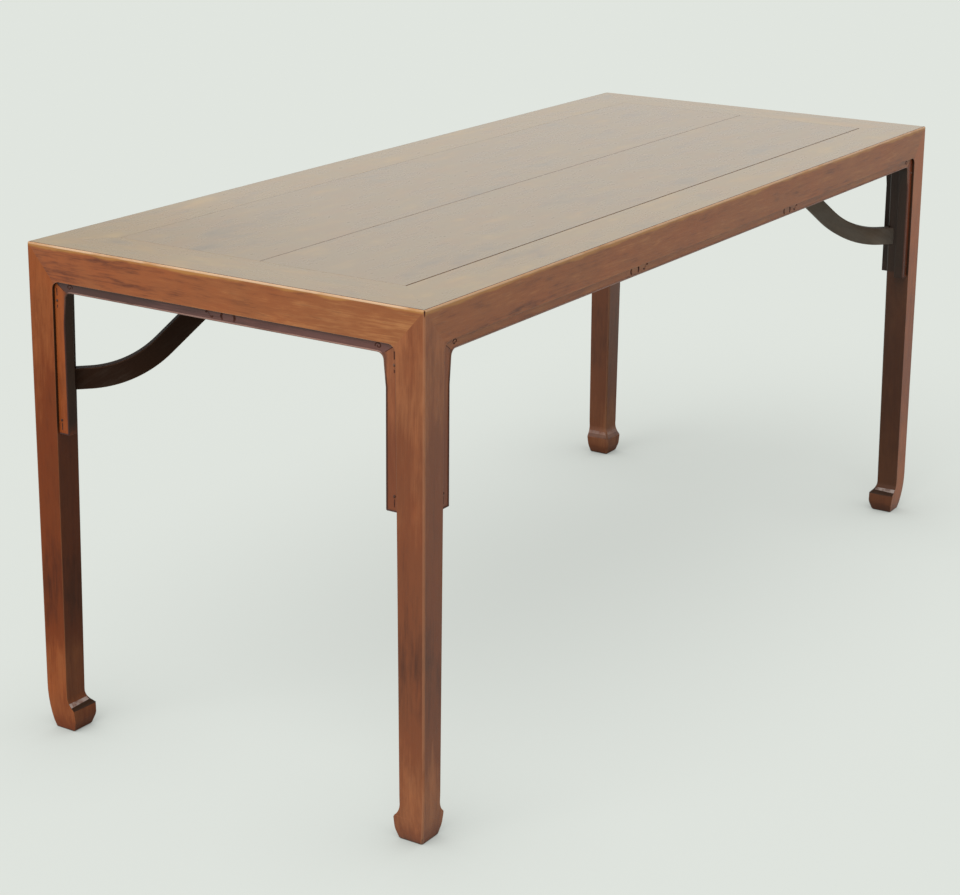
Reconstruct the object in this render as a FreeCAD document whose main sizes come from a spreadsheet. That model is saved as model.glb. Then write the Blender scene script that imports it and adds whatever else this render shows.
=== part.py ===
"""Four-sides-flush painting table with hoof feet, spandrel strips and giant's-arm braces.

Millimetres. Z is up, X runs along the table, and the origin is on the floor under the middle of the top.
Every side is drawn as if it were the front one, and every corner as if its outer edge stood at the origin;
a turn about Z then brings it to its place.
"""
import FreeCAD, Part
import os
import re
import Sketcher
from FreeCAD import Placement, Rotation, Vector

SIZES = {
    # Whole table
    "table_length": 1830,
    "table_width": 758,
    "table_height": 830,
    # Mitred top frame
    "rail_width": 103,
    "rail_height": 58,
    "groove_drop": 5,
    "groove_height": 6,
    "groove_depth": 10,
    "frame_tenon_start": 62,
    "frame_tenon_width": 26,
    "frame_tenon_drop": 20,
    "frame_tenon_height": 14,
    "frame_tenon_cover": 30,
    # Floating panel of two boards
    "board_thickness": 17,
    "board_front_gap": 1.5,
    "board_back_gap": 0.4,
    "board_end_gap": 0.4,
    "tongue_slack": 1,
    "seam_offset": 5,
    "seam_gap": 0.4,
    "seam_tongue": 6,
    # Battens under the panel
    "batten_width": 52,
    "batten_height": 33,
    "batten_end_offset": 252,
    "batten_tenon_length": 14,
    "batten_tenon_width": 26,
    "batten_tenon_height": 14,
    "batten_tenon_drop": 9,
    "dovetail_height": 5,
    "dovetail_root": 22,
    "dovetail_crown": 28,
    # Legs and their tenons
    "leg_width": 51,
    "ankle_width": 44.5,
    "opening_radius": 13,
    "leg_tenon_width": 12,
    "long_tenon_cover": 14,
    "short_tenon_cover": 26,
    # Hoof feet
    "neck_height": 50,
    "neck_share": 0.73,
    "toe_reach": 57.5,
    "toe_height": 38.5,
    "toe_radius": 4.5,
    "cheek_setback": 0.5,
    "cheek_height": 18,
    "cheek_radius": 30,
    "base_setback": 6.5,
    "base_inset": 8.5,
    "base_radius": 5,
    "heel_radius": 2.5,
    "sweep_height": 45,
    "sweep_share": 0.75,
    # Inner frame of aprons and spandrel strips
    "inner_recess": 5,
    "inner_thickness": 18,
    "apron_height": 16,
    "strip_width": 19,
    "strip_length": 252,
    "strip_flare": 5,
    "flare_length": 67,
    "inner_radius": 12,
    "inner_tongue_setback": 6,
    "inner_tongue_thickness": 6,
    "inner_tongue_depth": 7,
    # Giant's-arm braces, their wedges and pins
    "brace_thickness": 18,
    "brace_depth": 35,
    "brace_height": 195,
    "brace_plan_angle": 43,
    "brace_slope": 43.5,
    "brace_bend_radius": 172,
    "brace_tenon_length": 16,
    "brace_tenon_thickness": 10,
    "brace_tenon_height": 20,
    "wedge_height": 7,
    "pin_diameter": 8,
    "pin_length": 32,
    # Room left in sliding fits
    "fit_clearance": 0.2,
}

# Heights and widths that several pieces share, worked out from the sizes
UNDERSIDE = "(table_height - rail_height)"
BOARD_BASE = "(table_height - board_thickness)"
BATTEN_BASE = f"({BOARD_BASE} - batten_height)"
APRON_BASE = f"({UNDERSIDE} - apron_height)"
STRIP_BASE = f"({UNDERSIDE} - strip_length)"
GROOVE_BASE = "(table_height - groove_drop - groove_height)"
LEG_TAPER = f"((leg_width - ankle_width) / ({UNDERSIDE} - neck_height))"
SWEEP_ANGLE = "atan(base_inset / sweep_height)"
SWEEP_RADIUS = f"(sweep_share * sqrt(base_inset ^ 2 + sweep_height ^ 2) / tan({SWEEP_ANGLE} / 2))"
LEDGE_RUN = "(toe_reach - ankle_width)"
LEDGE_RISE = "(neck_height - toe_height)"
NECK_TURN = f"(atan({LEDGE_RUN} / {LEDGE_RISE}) + atan({LEG_TAPER}))"
NECK_RADIUS = f"(neck_share * sqrt({LEDGE_RUN} ^ 2 + {LEDGE_RISE} ^ 2) / tan({NECK_TURN} / 2))"
STRIP_BASE_LEG_WIDTH = f"(leg_width - strip_length * {LEG_TAPER})"
BRACE_MIDDLE = f"({BATTEN_BASE} - brace_height + brace_depth / 2)"
BRACE_LEG_WIDTH = f"(leg_width - ({UNDERSIDE} - {BRACE_MIDDLE}) * {LEG_TAPER})"
BRACE_SPAN = f"((batten_end_offset - {BRACE_LEG_WIDTH}) / cos(brace_plan_angle))"
INNER_MIDDLE = "(inner_recess + inner_thickness / 2)"
TONGUE_START = "(inner_recess + inner_tongue_setback)"

# Name, turn about Z, length along the side and distance from the middle of the table to its face
SIDES = (
    ("front", 0, "table_length", "table_width / 2"),
    ("right", 90, "table_width", "table_length / 2"),
    ("back", 180, "table_length", "table_width / 2"),
    ("left", 270, "table_width", "table_length / 2"),
)
# Name, turn about Z, and the signs of its place along X and Y
CORNERS = (
    ("front_left", 0, -1, -1),
    ("front_right", 90, 1, -1),
    ("back_right", 180, 1, 1),
    ("back_left", 270, -1, 1),
)
# Place of each batten along X, as a share of the end batten's place
BATTENS = (
    ("left", -1),
    ("middle_left", -1 / 3),
    ("middle_right", 1 / 3),
    ("right", 1),
)
UP = Vector(0, 0, 1)
HAIR = 1e-4

doc = FreeCAD.newDocument("painting_table")
sheet = doc.addObject("Spreadsheet::Sheet", "Sizes")
for row, (size_name, size) in enumerate(SIZES.items(), 1):
    sheet.set(f"A{row}", size_name)
    sheet.set(f"B{row}", str(size))
    sheet.setAlias(f"B{row}", size_name)
doc.recompute()
sub_parts = []


def bind(thing, name, formula):
    """Ties a property to a formula written in the names of the sizes."""
    def with_sheet(match):
        word = match.group(0)
        return f"Sizes.{word}" if word in SIZES else word
    thing.setExpression(name, re.sub(r"[a-z_]+", with_sheet, formula))


def value(formula):
    return float(sheet.evalExpression(formula))


def place(thing, base=("0", "0", "0"), turn="0"):
    """Moves a thing to a base point and turns it about Z, both given as formulas."""
    thing.Placement = Placement(Vector(), Rotation(UP, 1))
    for axis, formula in zip("xyz", base):
        bind(thing, f"Placement.Base.{axis}", formula)
    bind(thing, "Placement.Rotation.Angle", turn)
    return thing


def block(name, low, size):
    """Square-edged block from its lowest corner and its length, width and height."""
    box = doc.addObject("Part::Box", name)
    for side, formula in zip(("Length", "Width", "Height"), size):
        bind(box, side, formula)
    return place(box, low)


def outline(body, plane, corners):
    """Closed outline with straight sides; each corner is held by its two distances from the origin."""
    sketch = body.newObject("Sketcher::SketchObject", f"{body.Name}_outline")
    base = next(f for f in body.Origin.OriginFeatures if f.Role == plane)
    sketch.AttachmentSupport = (base, [""])
    sketch.MapMode = "FlatFace"
    points = [Vector(value(across), value(along), 0) for across, along in corners]
    count = len(points)
    for i in range(count):
        sketch.addGeometry(Part.LineSegment(points[i], points[(i + 1) % count]))
    for i in range(count):
        sketch.addConstraint(Sketcher.Constraint("Coincident", i, 2, (i + 1) % count, 1))
    for i, point in enumerate(points):
        for kind, axis, distance, formula in (
            ("DistanceX", -2, point.x, corners[i][0]),
            ("DistanceY", -1, point.y, corners[i][1]),
        ):
            if abs(distance) < HAIR:
                sketch.addConstraint(Sketcher.Constraint("PointOnObject", i, 1, axis))
            else:
                held = sketch.addConstraint(Sketcher.Constraint(kind, -1, 1, i, 1, distance))
                bind(sketch, f"Constraints[{held}]", formula)
    return sketch


def edges_at(shape, plane, corner):
    """Names of the edges that stand square to the outline at one of its corners."""
    wanted = Vector(value(corner[0]), value(corner[1]), 0)
    names = []
    for number, edge in enumerate(shape.Edges, 1):
        flat = []
        for vertex in edge.Vertexes:
            spot = vertex.Point
            flat.append(Vector(spot.y if plane == "YZ_Plane" else spot.x, spot.z, 0))
        if all(spot.distanceToPoint(wanted) < HAIR for spot in flat):
            names.append(f"Edge{number}")
    return names


def prism(name, plane, corners, depth, rounds=(), base=("0", "0", "0"), turn="0"):
    """Outline padded evenly to both sides of its plane; rounds pairs a corner's number with a radius."""
    body = doc.addObject("PartDesign::Body", name)
    pad = body.newObject("PartDesign::Pad", f"{name}_pad")
    pad.Profile = outline(body, plane, corners)
    pad.Midplane = True
    bind(pad, "Length", depth)
    last = pad
    for number, radius in rounds:
        doc.recompute()
        fillet = body.newObject("PartDesign::Fillet", f"{name}_round_{number}")
        fillet.Base = (last, edges_at(last.Shape, plane, corners[number]))
        bind(fillet, "Radius", radius)
        last = fillet
    body.Tip = last
    return place(body, base, turn)


def cut(name, base, tools):
    """Base with the tools cut away."""
    result = doc.addObject("Part::Cut", name)
    result.Base = base
    result.Tool = join(f"{name}_tools", tools)
    return result


def common(name, base, tool):
    result = doc.addObject("Part::Common", name)
    result.Base = base
    result.Tool = tool
    return result


def join(name, things):
    """One solid from several that touch or overlap."""
    if len(things) == 1:
        return things[0]
    result = doc.addObject("Part::MultiFuse", name)
    result.Shapes = things
    return result


def sub_part(label, thing, base=("0", "0", "0"), turn="0"):
    """Names a finished piece and brings it to its place."""
    thing.Label = label
    place(thing, base, turn)
    sub_parts.append(thing)


def mitre_region(name, plane, sign, end, depth, base):
    """Everything on the leg's side of the mitre that runs from the top corner down the face."""
    far = f"{end} - {sign} * 2 * leg_width"
    return prism(name, plane, (
        (end, "table_height"),
        (far, "table_height - 2 * rail_height"),
        (far, STRIP_BASE),
        (end, STRIP_BASE),
    ), depth, base=base)


def opening_round(name, plane, sign, end, base):
    """Thin angle piece at the face, whose inner corner is the rounded corner of the opening."""
    arm = "2 * opening_radius"
    lap = "opening_radius / 2"
    inner = f"{end} - {sign} * leg_width"
    low = f"{UNDERSIDE} - {arm}"
    low_inner = f"{inner} + {sign} * {arm} * {LEG_TAPER}"
    return prism(name, plane, (
        (f"{inner} + {sign} * {lap}", f"{UNDERSIDE} + {lap}"),
        (f"{inner} - {sign} * {arm}", f"{UNDERSIDE} + {lap}"),
        (f"{inner} - {sign} * {arm}", UNDERSIDE),
        (inner, UNDERSIDE),
        (low_inner, low),
        (f"{low_inner} + {sign} * {lap}", low),
    ), "inner_recess", rounds=((3, "opening_radius"),), base=base)


def rail(side, turn, span, reach, is_long):
    """Top rail: mitred at both ends, notched for the legs, grooved for the panel and the apron."""
    name = f"{side}_rail"
    face = f"-({reach})"
    inner_face = f"{face} + rail_width"
    half = f"{span} / 2"
    blank = doc.addObject("PartDesign::Body", f"{name}_blank")
    pad = blank.newObject("PartDesign::Pad", f"{name}_pad")
    pad.Profile = outline(blank, "XY_Plane", (
        (f"-{half}", face),
        (half, face),
        (f"{half} - rail_width", inner_face),
        (f"rail_width - {half}", inner_face),
    ))
    bind(pad, "Length", "rail_height")
    place(blank, ("0", "0", UNDERSIDE))
    added = [blank]
    removed = [
        block(f"{name}_panel_groove",
              (f"-{half}", f"{inner_face} - groove_depth", GROOVE_BASE),
              (span, "groove_depth", "groove_height")),
        block(f"{name}_apron_groove",
              (f"leg_width - {half}", f"{face} + {TONGUE_START} - fit_clearance", UNDERSIDE),
              (f"{span} - 2 * leg_width", "inner_tongue_thickness + 2 * fit_clearance",
               "inner_tongue_depth + fit_clearance")),
    ]
    leg_cover = "long_tenon_cover" if is_long else "short_tenon_cover"
    for sign, end_name in ((-1, "start"), (1, "end")):
        end = f"{sign} * {half}"
        corner_name = f"{name}_{end_name}"
        removed.append(prism(f"{corner_name}_notch", "XZ_Plane", (
            (end, "table_height"),
            (end, UNDERSIDE),
            (f"{end} - {sign} * leg_width", UNDERSIDE),
        ), "leg_width", base=("0", f"{face} + leg_width / 2", "0")))
        removed.append(block(f"{corner_name}_leg_mortise", (
            f"{end} - {sign} * leg_width * 2 / 3 - leg_tenon_width / 2 - fit_clearance",
            f"{face} + leg_width / 3 - leg_tenon_width / 2 - fit_clearance",
            UNDERSIDE,
        ), (
            "leg_tenon_width + 2 * fit_clearance",
            "leg_tenon_width + 2 * fit_clearance",
            f"rail_height - {leg_cover} + fit_clearance",
        )))
        layer = ("0", f"{face} + inner_recess / 2", "0")
        angle_piece = opening_round(f"{corner_name}_angle", "XZ_Plane", sign, end, layer)
        leg_side = mitre_region(f"{corner_name}_leg_side", "XZ_Plane", sign, end, "leg_width", layer)
        added.append(cut(f"{corner_name}_round", angle_piece, [leg_side]))
        if is_long:
            added.append(frame_tenon(f"{corner_name}_tenon", sign, end, face))
        else:
            removed.append(frame_mortise(f"{corner_name}_mortise", sign, end, face))
    if is_long:
        for batten_name, share in BATTENS:
            removed.append(batten_mortise(f"{name}_{batten_name}_mortise", share, inner_face))
    sub_part(name, cut(f"{name}_cut", join(f"{name}_joined", added), removed), turn=str(turn))


def frame_tenon(name, sign, end, face):
    """Tenon of a long rail, which reaches across the mitre into the short rail."""
    root = "(frame_tenon_start + frame_tenon_width)"
    tip = f"{end} - {sign} * frame_tenon_cover"
    start = tip if sign < 0 else f"{end} - {root}"
    return block(name,
                 (start, f"{face} + frame_tenon_start",
                  "table_height - frame_tenon_drop - frame_tenon_height"),
                 (f"{root} - frame_tenon_cover", "frame_tenon_width", "frame_tenon_height"))


def frame_mortise(name, sign, end, face):
    """Socket in a short rail for the long rail's tenon."""
    width = "(frame_tenon_width + 2 * fit_clearance)"
    near = f"{end} - {sign} * (frame_tenon_start - fit_clearance)"
    start = near if sign < 0 else f"{near} - {width}"
    return block(name,
                 (start, f"{face} + frame_tenon_cover - fit_clearance",
                  "table_height - frame_tenon_drop - frame_tenon_height - fit_clearance"),
                 (width, "rail_width - frame_tenon_cover + fit_clearance",
                  "frame_tenon_height + 2 * fit_clearance"))


def batten_place(share):
    return f"{share} * (table_length / 2 - batten_end_offset)"


def batten_mortise(name, share, inner_face):
    """Socket in a long rail's inner face for a batten's tenon."""
    width = "(batten_tenon_width + 2 * fit_clearance)"
    depth = "(batten_tenon_length + fit_clearance)"
    return block(name,
                 (f"{batten_place(share)} - {width} / 2", f"{inner_face} - {depth}",
                  f"{BOARD_BASE} - batten_tenon_drop - batten_tenon_height - fit_clearance"),
                 (width, depth, "batten_tenon_height + 2 * fit_clearance"))


def dovetail(name, share, room):
    """Dovetail that slides across the boards' undersides, with room added on each face."""
    middle = batten_place(share)
    root = f"(dovetail_root / 2 + {room})"
    crown = f"(dovetail_crown / 2 + {room})"
    top = f"{BOARD_BASE} + dovetail_height + {room}"
    return prism(name, "XZ_Plane", (
        (f"{middle} - {root}", BOARD_BASE),
        (f"{middle} + {root}", BOARD_BASE),
        (f"{middle} + {crown}", top),
        (f"{middle} - {crown}", top),
    ), "table_width - 2 * rail_width")


def batten(batten_name, share):
    """Stiffener across the panel: dovetailed to the boards and tenoned into both long rails."""
    name = f"{batten_name}_batten"
    between = "(table_width - 2 * rail_width)"
    tenons = f"({between} + 2 * batten_tenon_length)"
    middle = batten_place(share)
    bar = block(f"{name}_bar", (f"{middle} - batten_width / 2", f"-{between} / 2", BATTEN_BASE),
                ("batten_width", between, "batten_height"))
    through = block(f"{name}_tenons",
                    (f"{middle} - batten_tenon_width / 2", f"-{tenons} / 2",
                     f"{BOARD_BASE} - batten_tenon_drop - batten_tenon_height"),
                    ("batten_tenon_width", tenons, "batten_tenon_height"))
    whole = join(f"{name}_joined", [bar, through, dovetail(f"{name}_dovetail", share, "0")])
    if abs(share) == 1:
        holes = []
        for corner, _, x_sign, y_sign in CORNERS:
            if x_sign == share:
                holes.append(pin(f"{name}_{corner}_hole", x_sign, y_sign, "fit_clearance"))
        whole = cut(f"{name}_drilled", whole, holes)
    sub_part(name, whole)


def board(board_name, sign):
    """Half of the panel: a tongue on three edges, and one half of the seam on the fourth."""
    name = f"{board_name}_board"
    half_length = "(table_length / 2 - rail_width)"
    half_width = "(table_width / 2 - rail_width)"
    reach = "(groove_depth - tongue_slack)"
    seam = f"({sign} * seam_gap / 2 - seam_offset)"
    face_end = f"({half_width} - board_{board_name}_gap)"
    tongue_end = f"({half_width} + {reach})"
    face_width = f"({face_end} - {sign} * {seam})"
    tongue_width = f"({tongue_end} - {sign} * {seam})"
    face_length = f"(2 * ({half_length} - board_end_gap))"
    tongue_length = f"(2 * ({half_length} + {reach}))"
    face = block(f"{name}_face",
                 (f"-{face_length} / 2", seam if sign > 0 else f"-{face_end}", BOARD_BASE),
                 (face_length, face_width, "board_thickness"))
    tongue = block(f"{name}_tongue",
                   (f"-{tongue_length} / 2", seam if sign > 0 else f"-{tongue_end}", GROOVE_BASE),
                   (tongue_length, tongue_width, "groove_height - fit_clearance"))
    added = [face, tongue]
    removed = []
    for batten_name, share in BATTENS:
        removed.append(dovetail(f"{name}_{batten_name}_slot", share, "fit_clearance"))
    if sign < 0:
        added.append(block(f"{name}_seam_tongue", (f"-{face_length} / 2", seam, GROOVE_BASE),
                           (face_length, "seam_tongue", "groove_height - fit_clearance")))
    else:
        removed.append(block(f"{name}_seam_groove",
                             (f"-{tongue_length} / 2", seam, f"{GROOVE_BASE} - fit_clearance"),
                             (tongue_length, "seam_tongue", "groove_height + fit_clearance")))
    sub_part(name, cut(f"{name}_cut", join(f"{name}_joined", added), removed))


def inner_frame(side, turn, span, reach, neighbours):
    """Apron and two strips of one side, cut at mitres from one outline with rounded inner corners."""
    half = f"{span} / 2"
    edge = f"({half} - leg_width - strip_width)"
    flared = f"({edge} - strip_flare)"
    flare_base = f"{UNDERSIDE} - flare_length"
    layer = ("0", f"{INNER_MIDDLE} - ({reach})", "0")
    tongue_face = f"{TONGUE_START} - ({reach})"
    frame = prism(f"{side}_inner_frame", "XZ_Plane", (
        (f"leg_width - {half}", UNDERSIDE),
        (f"{half} - leg_width", UNDERSIDE),
        (f"{half} - {STRIP_BASE_LEG_WIDTH}", STRIP_BASE),
        (edge, STRIP_BASE),
        (edge, flare_base),
        (flared, APRON_BASE),
        (f"-{flared}", APRON_BASE),
        (f"-{edge}", flare_base),
        (f"-{edge}", STRIP_BASE),
        (f"{STRIP_BASE_LEG_WIDTH} - {half}", STRIP_BASE),
    ), "inner_thickness", rounds=((5, "inner_radius"), (6, "inner_radius")), base=layer)
    strip_regions = []
    for sign, end_name in zip((-1, 1), neighbours):
        corner_x = f"{sign} * ({half} - leg_width)"
        far_x = f"{sign} * ({half} - leg_width - 3 * (strip_width + strip_flare))"
        outside = f"{sign} * {half}"
        region = prism(f"{side}_{end_name}_strip_region", "XZ_Plane", (
            (corner_x, UNDERSIDE),
            (far_x, f"{UNDERSIDE} - 3 * apron_height"),
            (far_x, f"{STRIP_BASE} - strip_width"),
            (outside, f"{STRIP_BASE} - strip_width"),
            (outside, UNDERSIDE),
        ), "2 * inner_thickness", base=layer)
        strip_regions.append(region)
        tongue_tip = f"({half} - {STRIP_BASE_LEG_WIDTH} + inner_tongue_depth)"
        tongue_low = f"{tongue_tip} - strip_width" if sign > 0 else f"-{tongue_tip}"
        tongue = block(f"{side}_{end_name}_strip_tongue", (tongue_low, tongue_face, STRIP_BASE),
                       ("strip_width", "inner_tongue_thickness", "strip_length - strip_width"))
        strip = common(f"{side}_{end_name}_strip_bar", frame, region)
        sub_part(f"{side}_strip_{end_name}", join(f"{side}_{end_name}_strip_joined", [strip, tongue]),
                 turn=str(turn))
    apron_tongue = block(f"{side}_apron_tongue",
                         (f"-{flared}", tongue_face, APRON_BASE),
                         (f"2 * {flared}", "inner_tongue_thickness", "apron_height + inner_tongue_depth"))
    apron = cut(f"{side}_apron_bar", frame, strip_regions)
    sub_part(f"{side}_apron", join(f"{side}_apron_joined", [apron, apron_tongue]), turn=str(turn))


def leg_profile(name, plane, base):
    """Side view of a leg: mitred top, tapering inner edge, and a hoof with a ledge above its toe."""
    return prism(name, plane, (
        ("0", "table_height"),
        ("0", "sweep_height"),
        ("base_inset", "0"),
        ("toe_reach - base_setback", "0"),
        ("toe_reach - cheek_setback", "cheek_height"),
        ("toe_reach", "toe_height"),
        ("ankle_width", "neck_height"),
        ("leg_width", UNDERSIDE),
    ), "toe_reach", rounds=(
        (1, SWEEP_RADIUS),
        (2, "heel_radius"),
        (3, "base_radius"),
        (4, "cheek_radius"),
        (5, "toe_radius"),
        (6, NECK_RADIUS),
    ), base=base)


def leg_tenon(name, x_share, y_share, cover):
    """Tenon that rises from the leg's mitred top into one of the two rails."""
    return block(name,
                 (f"leg_width * {x_share} / 3 - leg_tenon_width / 2",
                  f"leg_width * {y_share} / 3 - leg_tenon_width / 2", f"{UNDERSIDE} - leg_tenon_width"),
                 ("leg_tenon_width", "leg_tenon_width", f"rail_height - {cover} + leg_tenon_width"))


def strip_groove(name, along_x):
    """Groove down a leg's inner face for the tongue of a spandrel strip."""
    low = f"{STRIP_BASE_LEG_WIDTH} - inner_tongue_depth - fit_clearance"
    across = f"{TONGUE_START} - fit_clearance"
    depth = f"leg_width - ({low})"
    width = "inner_tongue_thickness + 2 * fit_clearance"
    height = "strip_length - strip_width + fit_clearance"
    if along_x:
        return block(name, (low, across, STRIP_BASE), (depth, width, height))
    return block(name, (across, low, STRIP_BASE), (width, depth, height))


def brace_angle(turn):
    """Direction of a brace in its corner's own frame; every other corner is seen from its other side."""
    return "brace_plan_angle" if turn % 180 == 0 else "(90 - brace_plan_angle)"


def brace_bar(name, angle, base):
    """Arm that leaves the leg level, bends upward and ends flat under the batten."""
    half = "brace_depth / 2"
    bend = f"({BRACE_SPAN} - ({BATTEN_BASE} - {BRACE_MIDDLE}) / tan(brace_slope))"
    shift = f"({half} * tan(brace_slope / 2))"
    lap = f"({half} / sin(brace_slope))"
    root = "-2 * brace_thickness"
    return prism(name, "XZ_Plane", (
        (root, f"{BRACE_MIDDLE} - {half}"),
        (f"{bend} + {shift}", f"{BRACE_MIDDLE} - {half}"),
        (f"{BRACE_SPAN} + {lap}", BATTEN_BASE),
        (f"{BRACE_SPAN} - {lap}", BATTEN_BASE),
        (f"{bend} - {shift}", f"{BRACE_MIDDLE} + {half}"),
        (root, f"{BRACE_MIDDLE} + {half}"),
    ), "brace_thickness", rounds=(
        (1, f"brace_bend_radius + {half}"),
        (4, f"brace_bend_radius - {half}"),
    ), base=base, turn=angle)


def brace_peg(name, angle, base, low, high, tip, root, width):
    """Straight-sided peg along the brace, between two heights and two distances from the leg's edge."""
    return prism(name, "XZ_Plane", (
        (tip, low),
        (root, low),
        (root, high),
        (tip, high),
    ), width, base=base, turn=angle)


def pin(name, x_sign, y_sign, room):
    """Dowel, or the hole for it, that stands half in the brace's head and half in the batten."""
    rod = doc.addObject("Part::Cylinder", name)
    bind(rod, "Radius", f"pin_diameter / 2 + {room}")
    bind(rod, "Height", f"pin_length + 2 * {room}")
    side_place = f"(table_width / 2 - {BRACE_LEG_WIDTH} - {BRACE_SPAN} * sin(brace_plan_angle))"
    return place(rod, (batten_place(x_sign), f"{y_sign} * {side_place}",
                       f"{BATTEN_BASE} - pin_length / 2 - {room}"))


def brace_pin_hole(name, angle):
    """The same hole seen in the frame of the brace's own corner."""
    rod = doc.addObject("Part::Cylinder", name)
    bind(rod, "Radius", "pin_diameter / 2 + fit_clearance")
    bind(rod, "Height", "pin_length + 2 * fit_clearance")
    return place(rod, (f"{BRACE_LEG_WIDTH} + {BRACE_SPAN} * cos({angle})",
                       f"{BRACE_LEG_WIDTH} + {BRACE_SPAN} * sin({angle})",
                       f"{BATTEN_BASE} - pin_length / 2 - fit_clearance"))


def corner(corner_name, turn, x_sign, y_sign):
    """Leg with its tenons, grooves and mortise, the brace that springs from it, and the brace's wedge."""
    name = f"{corner_name}_leg"
    home = (f"{x_sign} * table_length / 2", f"{y_sign} * table_width / 2", "0")
    x_is_long = turn % 180 == 0
    angle = brace_angle(turn)
    blank = common(f"{name}_blank",
                   leg_profile(f"{name}_side", "XZ_Plane", ("0", "toe_reach / 2", "0")),
                   leg_profile(f"{name}_front", "YZ_Plane", ("toe_reach / 2", "0", "0")))
    covers = ("long_tenon_cover", "short_tenon_cover")
    x_cover, y_cover = covers if x_is_long else reversed(covers)
    added = [
        blank,
        leg_tenon(f"{name}_tenon_x", 2, 1, x_cover),
        leg_tenon(f"{name}_tenon_y", 1, 2, y_cover),
    ]
    for plane, layer in (
        ("XZ_Plane", ("0", "inner_recess / 2", "0")),
        ("YZ_Plane", ("inner_recess / 2", "0", "0")),
    ):
        added.append(common(f"{name}_{plane}_round",
                            opening_round(f"{name}_{plane}_angle", plane, -1, "0", layer),
                            mitre_region(f"{name}_{plane}_leg_side", plane, -1, "0", "leg_width", layer)))
    edge = (BRACE_LEG_WIDTH, BRACE_LEG_WIDTH, "0")
    tenon_low = f"{BRACE_MIDDLE} - brace_tenon_height / 2"
    tenon_high = f"{BRACE_MIDDLE} + brace_tenon_height / 2"
    mortise = brace_peg(f"{name}_brace_mortise", angle, edge,
                        f"{tenon_low} - wedge_height", f"{tenon_high} + fit_clearance",
                        "-brace_tenon_length - fit_clearance", "brace_thickness",
                        "brace_tenon_thickness + 2 * fit_clearance")
    removed = [
        strip_groove(f"{name}_groove_x", True),
        strip_groove(f"{name}_groove_y", False),
        mortise,
    ]
    sub_part(name, cut(f"{name}_cut", join(f"{name}_joined", added), removed), home, str(turn))

    brace_name = f"{corner_name}_brace"
    notched = cut(f"{brace_name}_notched", brace_bar(f"{brace_name}_bar", angle, edge), [blank])
    tenon = brace_peg(f"{brace_name}_tenon", angle, edge, tenon_low, tenon_high,
                      "-brace_tenon_length", "brace_thickness", "brace_tenon_thickness")
    whole = cut(f"{brace_name}_drilled", join(f"{brace_name}_joined", [notched, tenon]),
                [brace_pin_hole(f"{brace_name}_pin_hole", angle)])
    sub_part(brace_name, whole, home, str(turn))


def brace_wedge(corner_name, turn, x_sign, y_sign):
    """Wedge driven under the brace's tenon once the tenon is lifted home."""
    edge = (f"{x_sign} * (table_length / 2 - {BRACE_LEG_WIDTH})",
            f"{y_sign} * (table_width / 2 - {BRACE_LEG_WIDTH})", "0")
    tenon_low = f"{BRACE_MIDDLE} - brace_tenon_height / 2"
    return brace_peg(f"{corner_name}_wedge", f"{turn} + {brace_angle(turn)}", edge,
                     f"{tenon_low} - wedge_height", tenon_low,
                     "-brace_tenon_length", "-brace_tenon_thickness", "brace_tenon_thickness")


def group(label, things):
    """Like small pieces that share one name, each still a solid of its own."""
    together = doc.addObject("Part::Compound", f"{label}_group")
    together.Links = things
    sub_part(label, together)


for i, (side, turn, span, reach) in enumerate(SIDES):
    rail(side, turn, span, reach, is_long=span == "table_length")
    inner_frame(side, turn, span, reach, (SIDES[i - 1][0], SIDES[(i + 1) % len(SIDES)][0]))
for board_name, sign in (("front", -1), ("back", 1)):
    board(board_name, sign)
for batten_name, share in BATTENS:
    batten(batten_name, share)
for corner_name, turn, x_sign, y_sign in CORNERS:
    corner(corner_name, turn, x_sign, y_sign)
group("brace_wedges", [brace_wedge(*each) for each in CORNERS])
group("brace_pins", [pin(f"{name}_pin", x_sign, y_sign, "0") for name, _, x_sign, y_sign in CORNERS])

doc.recompute()
faults = [thing.Name for thing in doc.Objects if "Invalid" in thing.State or "Error" in thing.State]
faults += [thing.Label for thing in sub_parts if thing.Shape.isNull() or not thing.Shape.isValid()]
if faults:
    raise RuntimeError(f"Not built: {', '.join(faults)}")
os.makedirs("parts", exist_ok=True)
for thing in sub_parts:
    thing.Shape.exportStep(os.path.join("parts", f"{thing.Label}.step"))
print(f"{len(sub_parts)} sub-parts written")
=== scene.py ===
# %% [markdown]
# A long painting table in old waxed hardwood
#
# The table is a mitred frame with a floating panel, four flush corner legs on hoof feet, thin aprons and long
# spandrel strips round each opening, and four curved giant's-arm braces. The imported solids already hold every
# joint, so none is made again here. The lesson takes copies of them, eases their arrises, carves the small
# scrolls, and gives each piece its wood and its wear.

# %% Load the frame
import math

import bmesh
import bpy
from mathutils import Matrix, Vector
from mathutils.bvhtree import BVHTree


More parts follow.
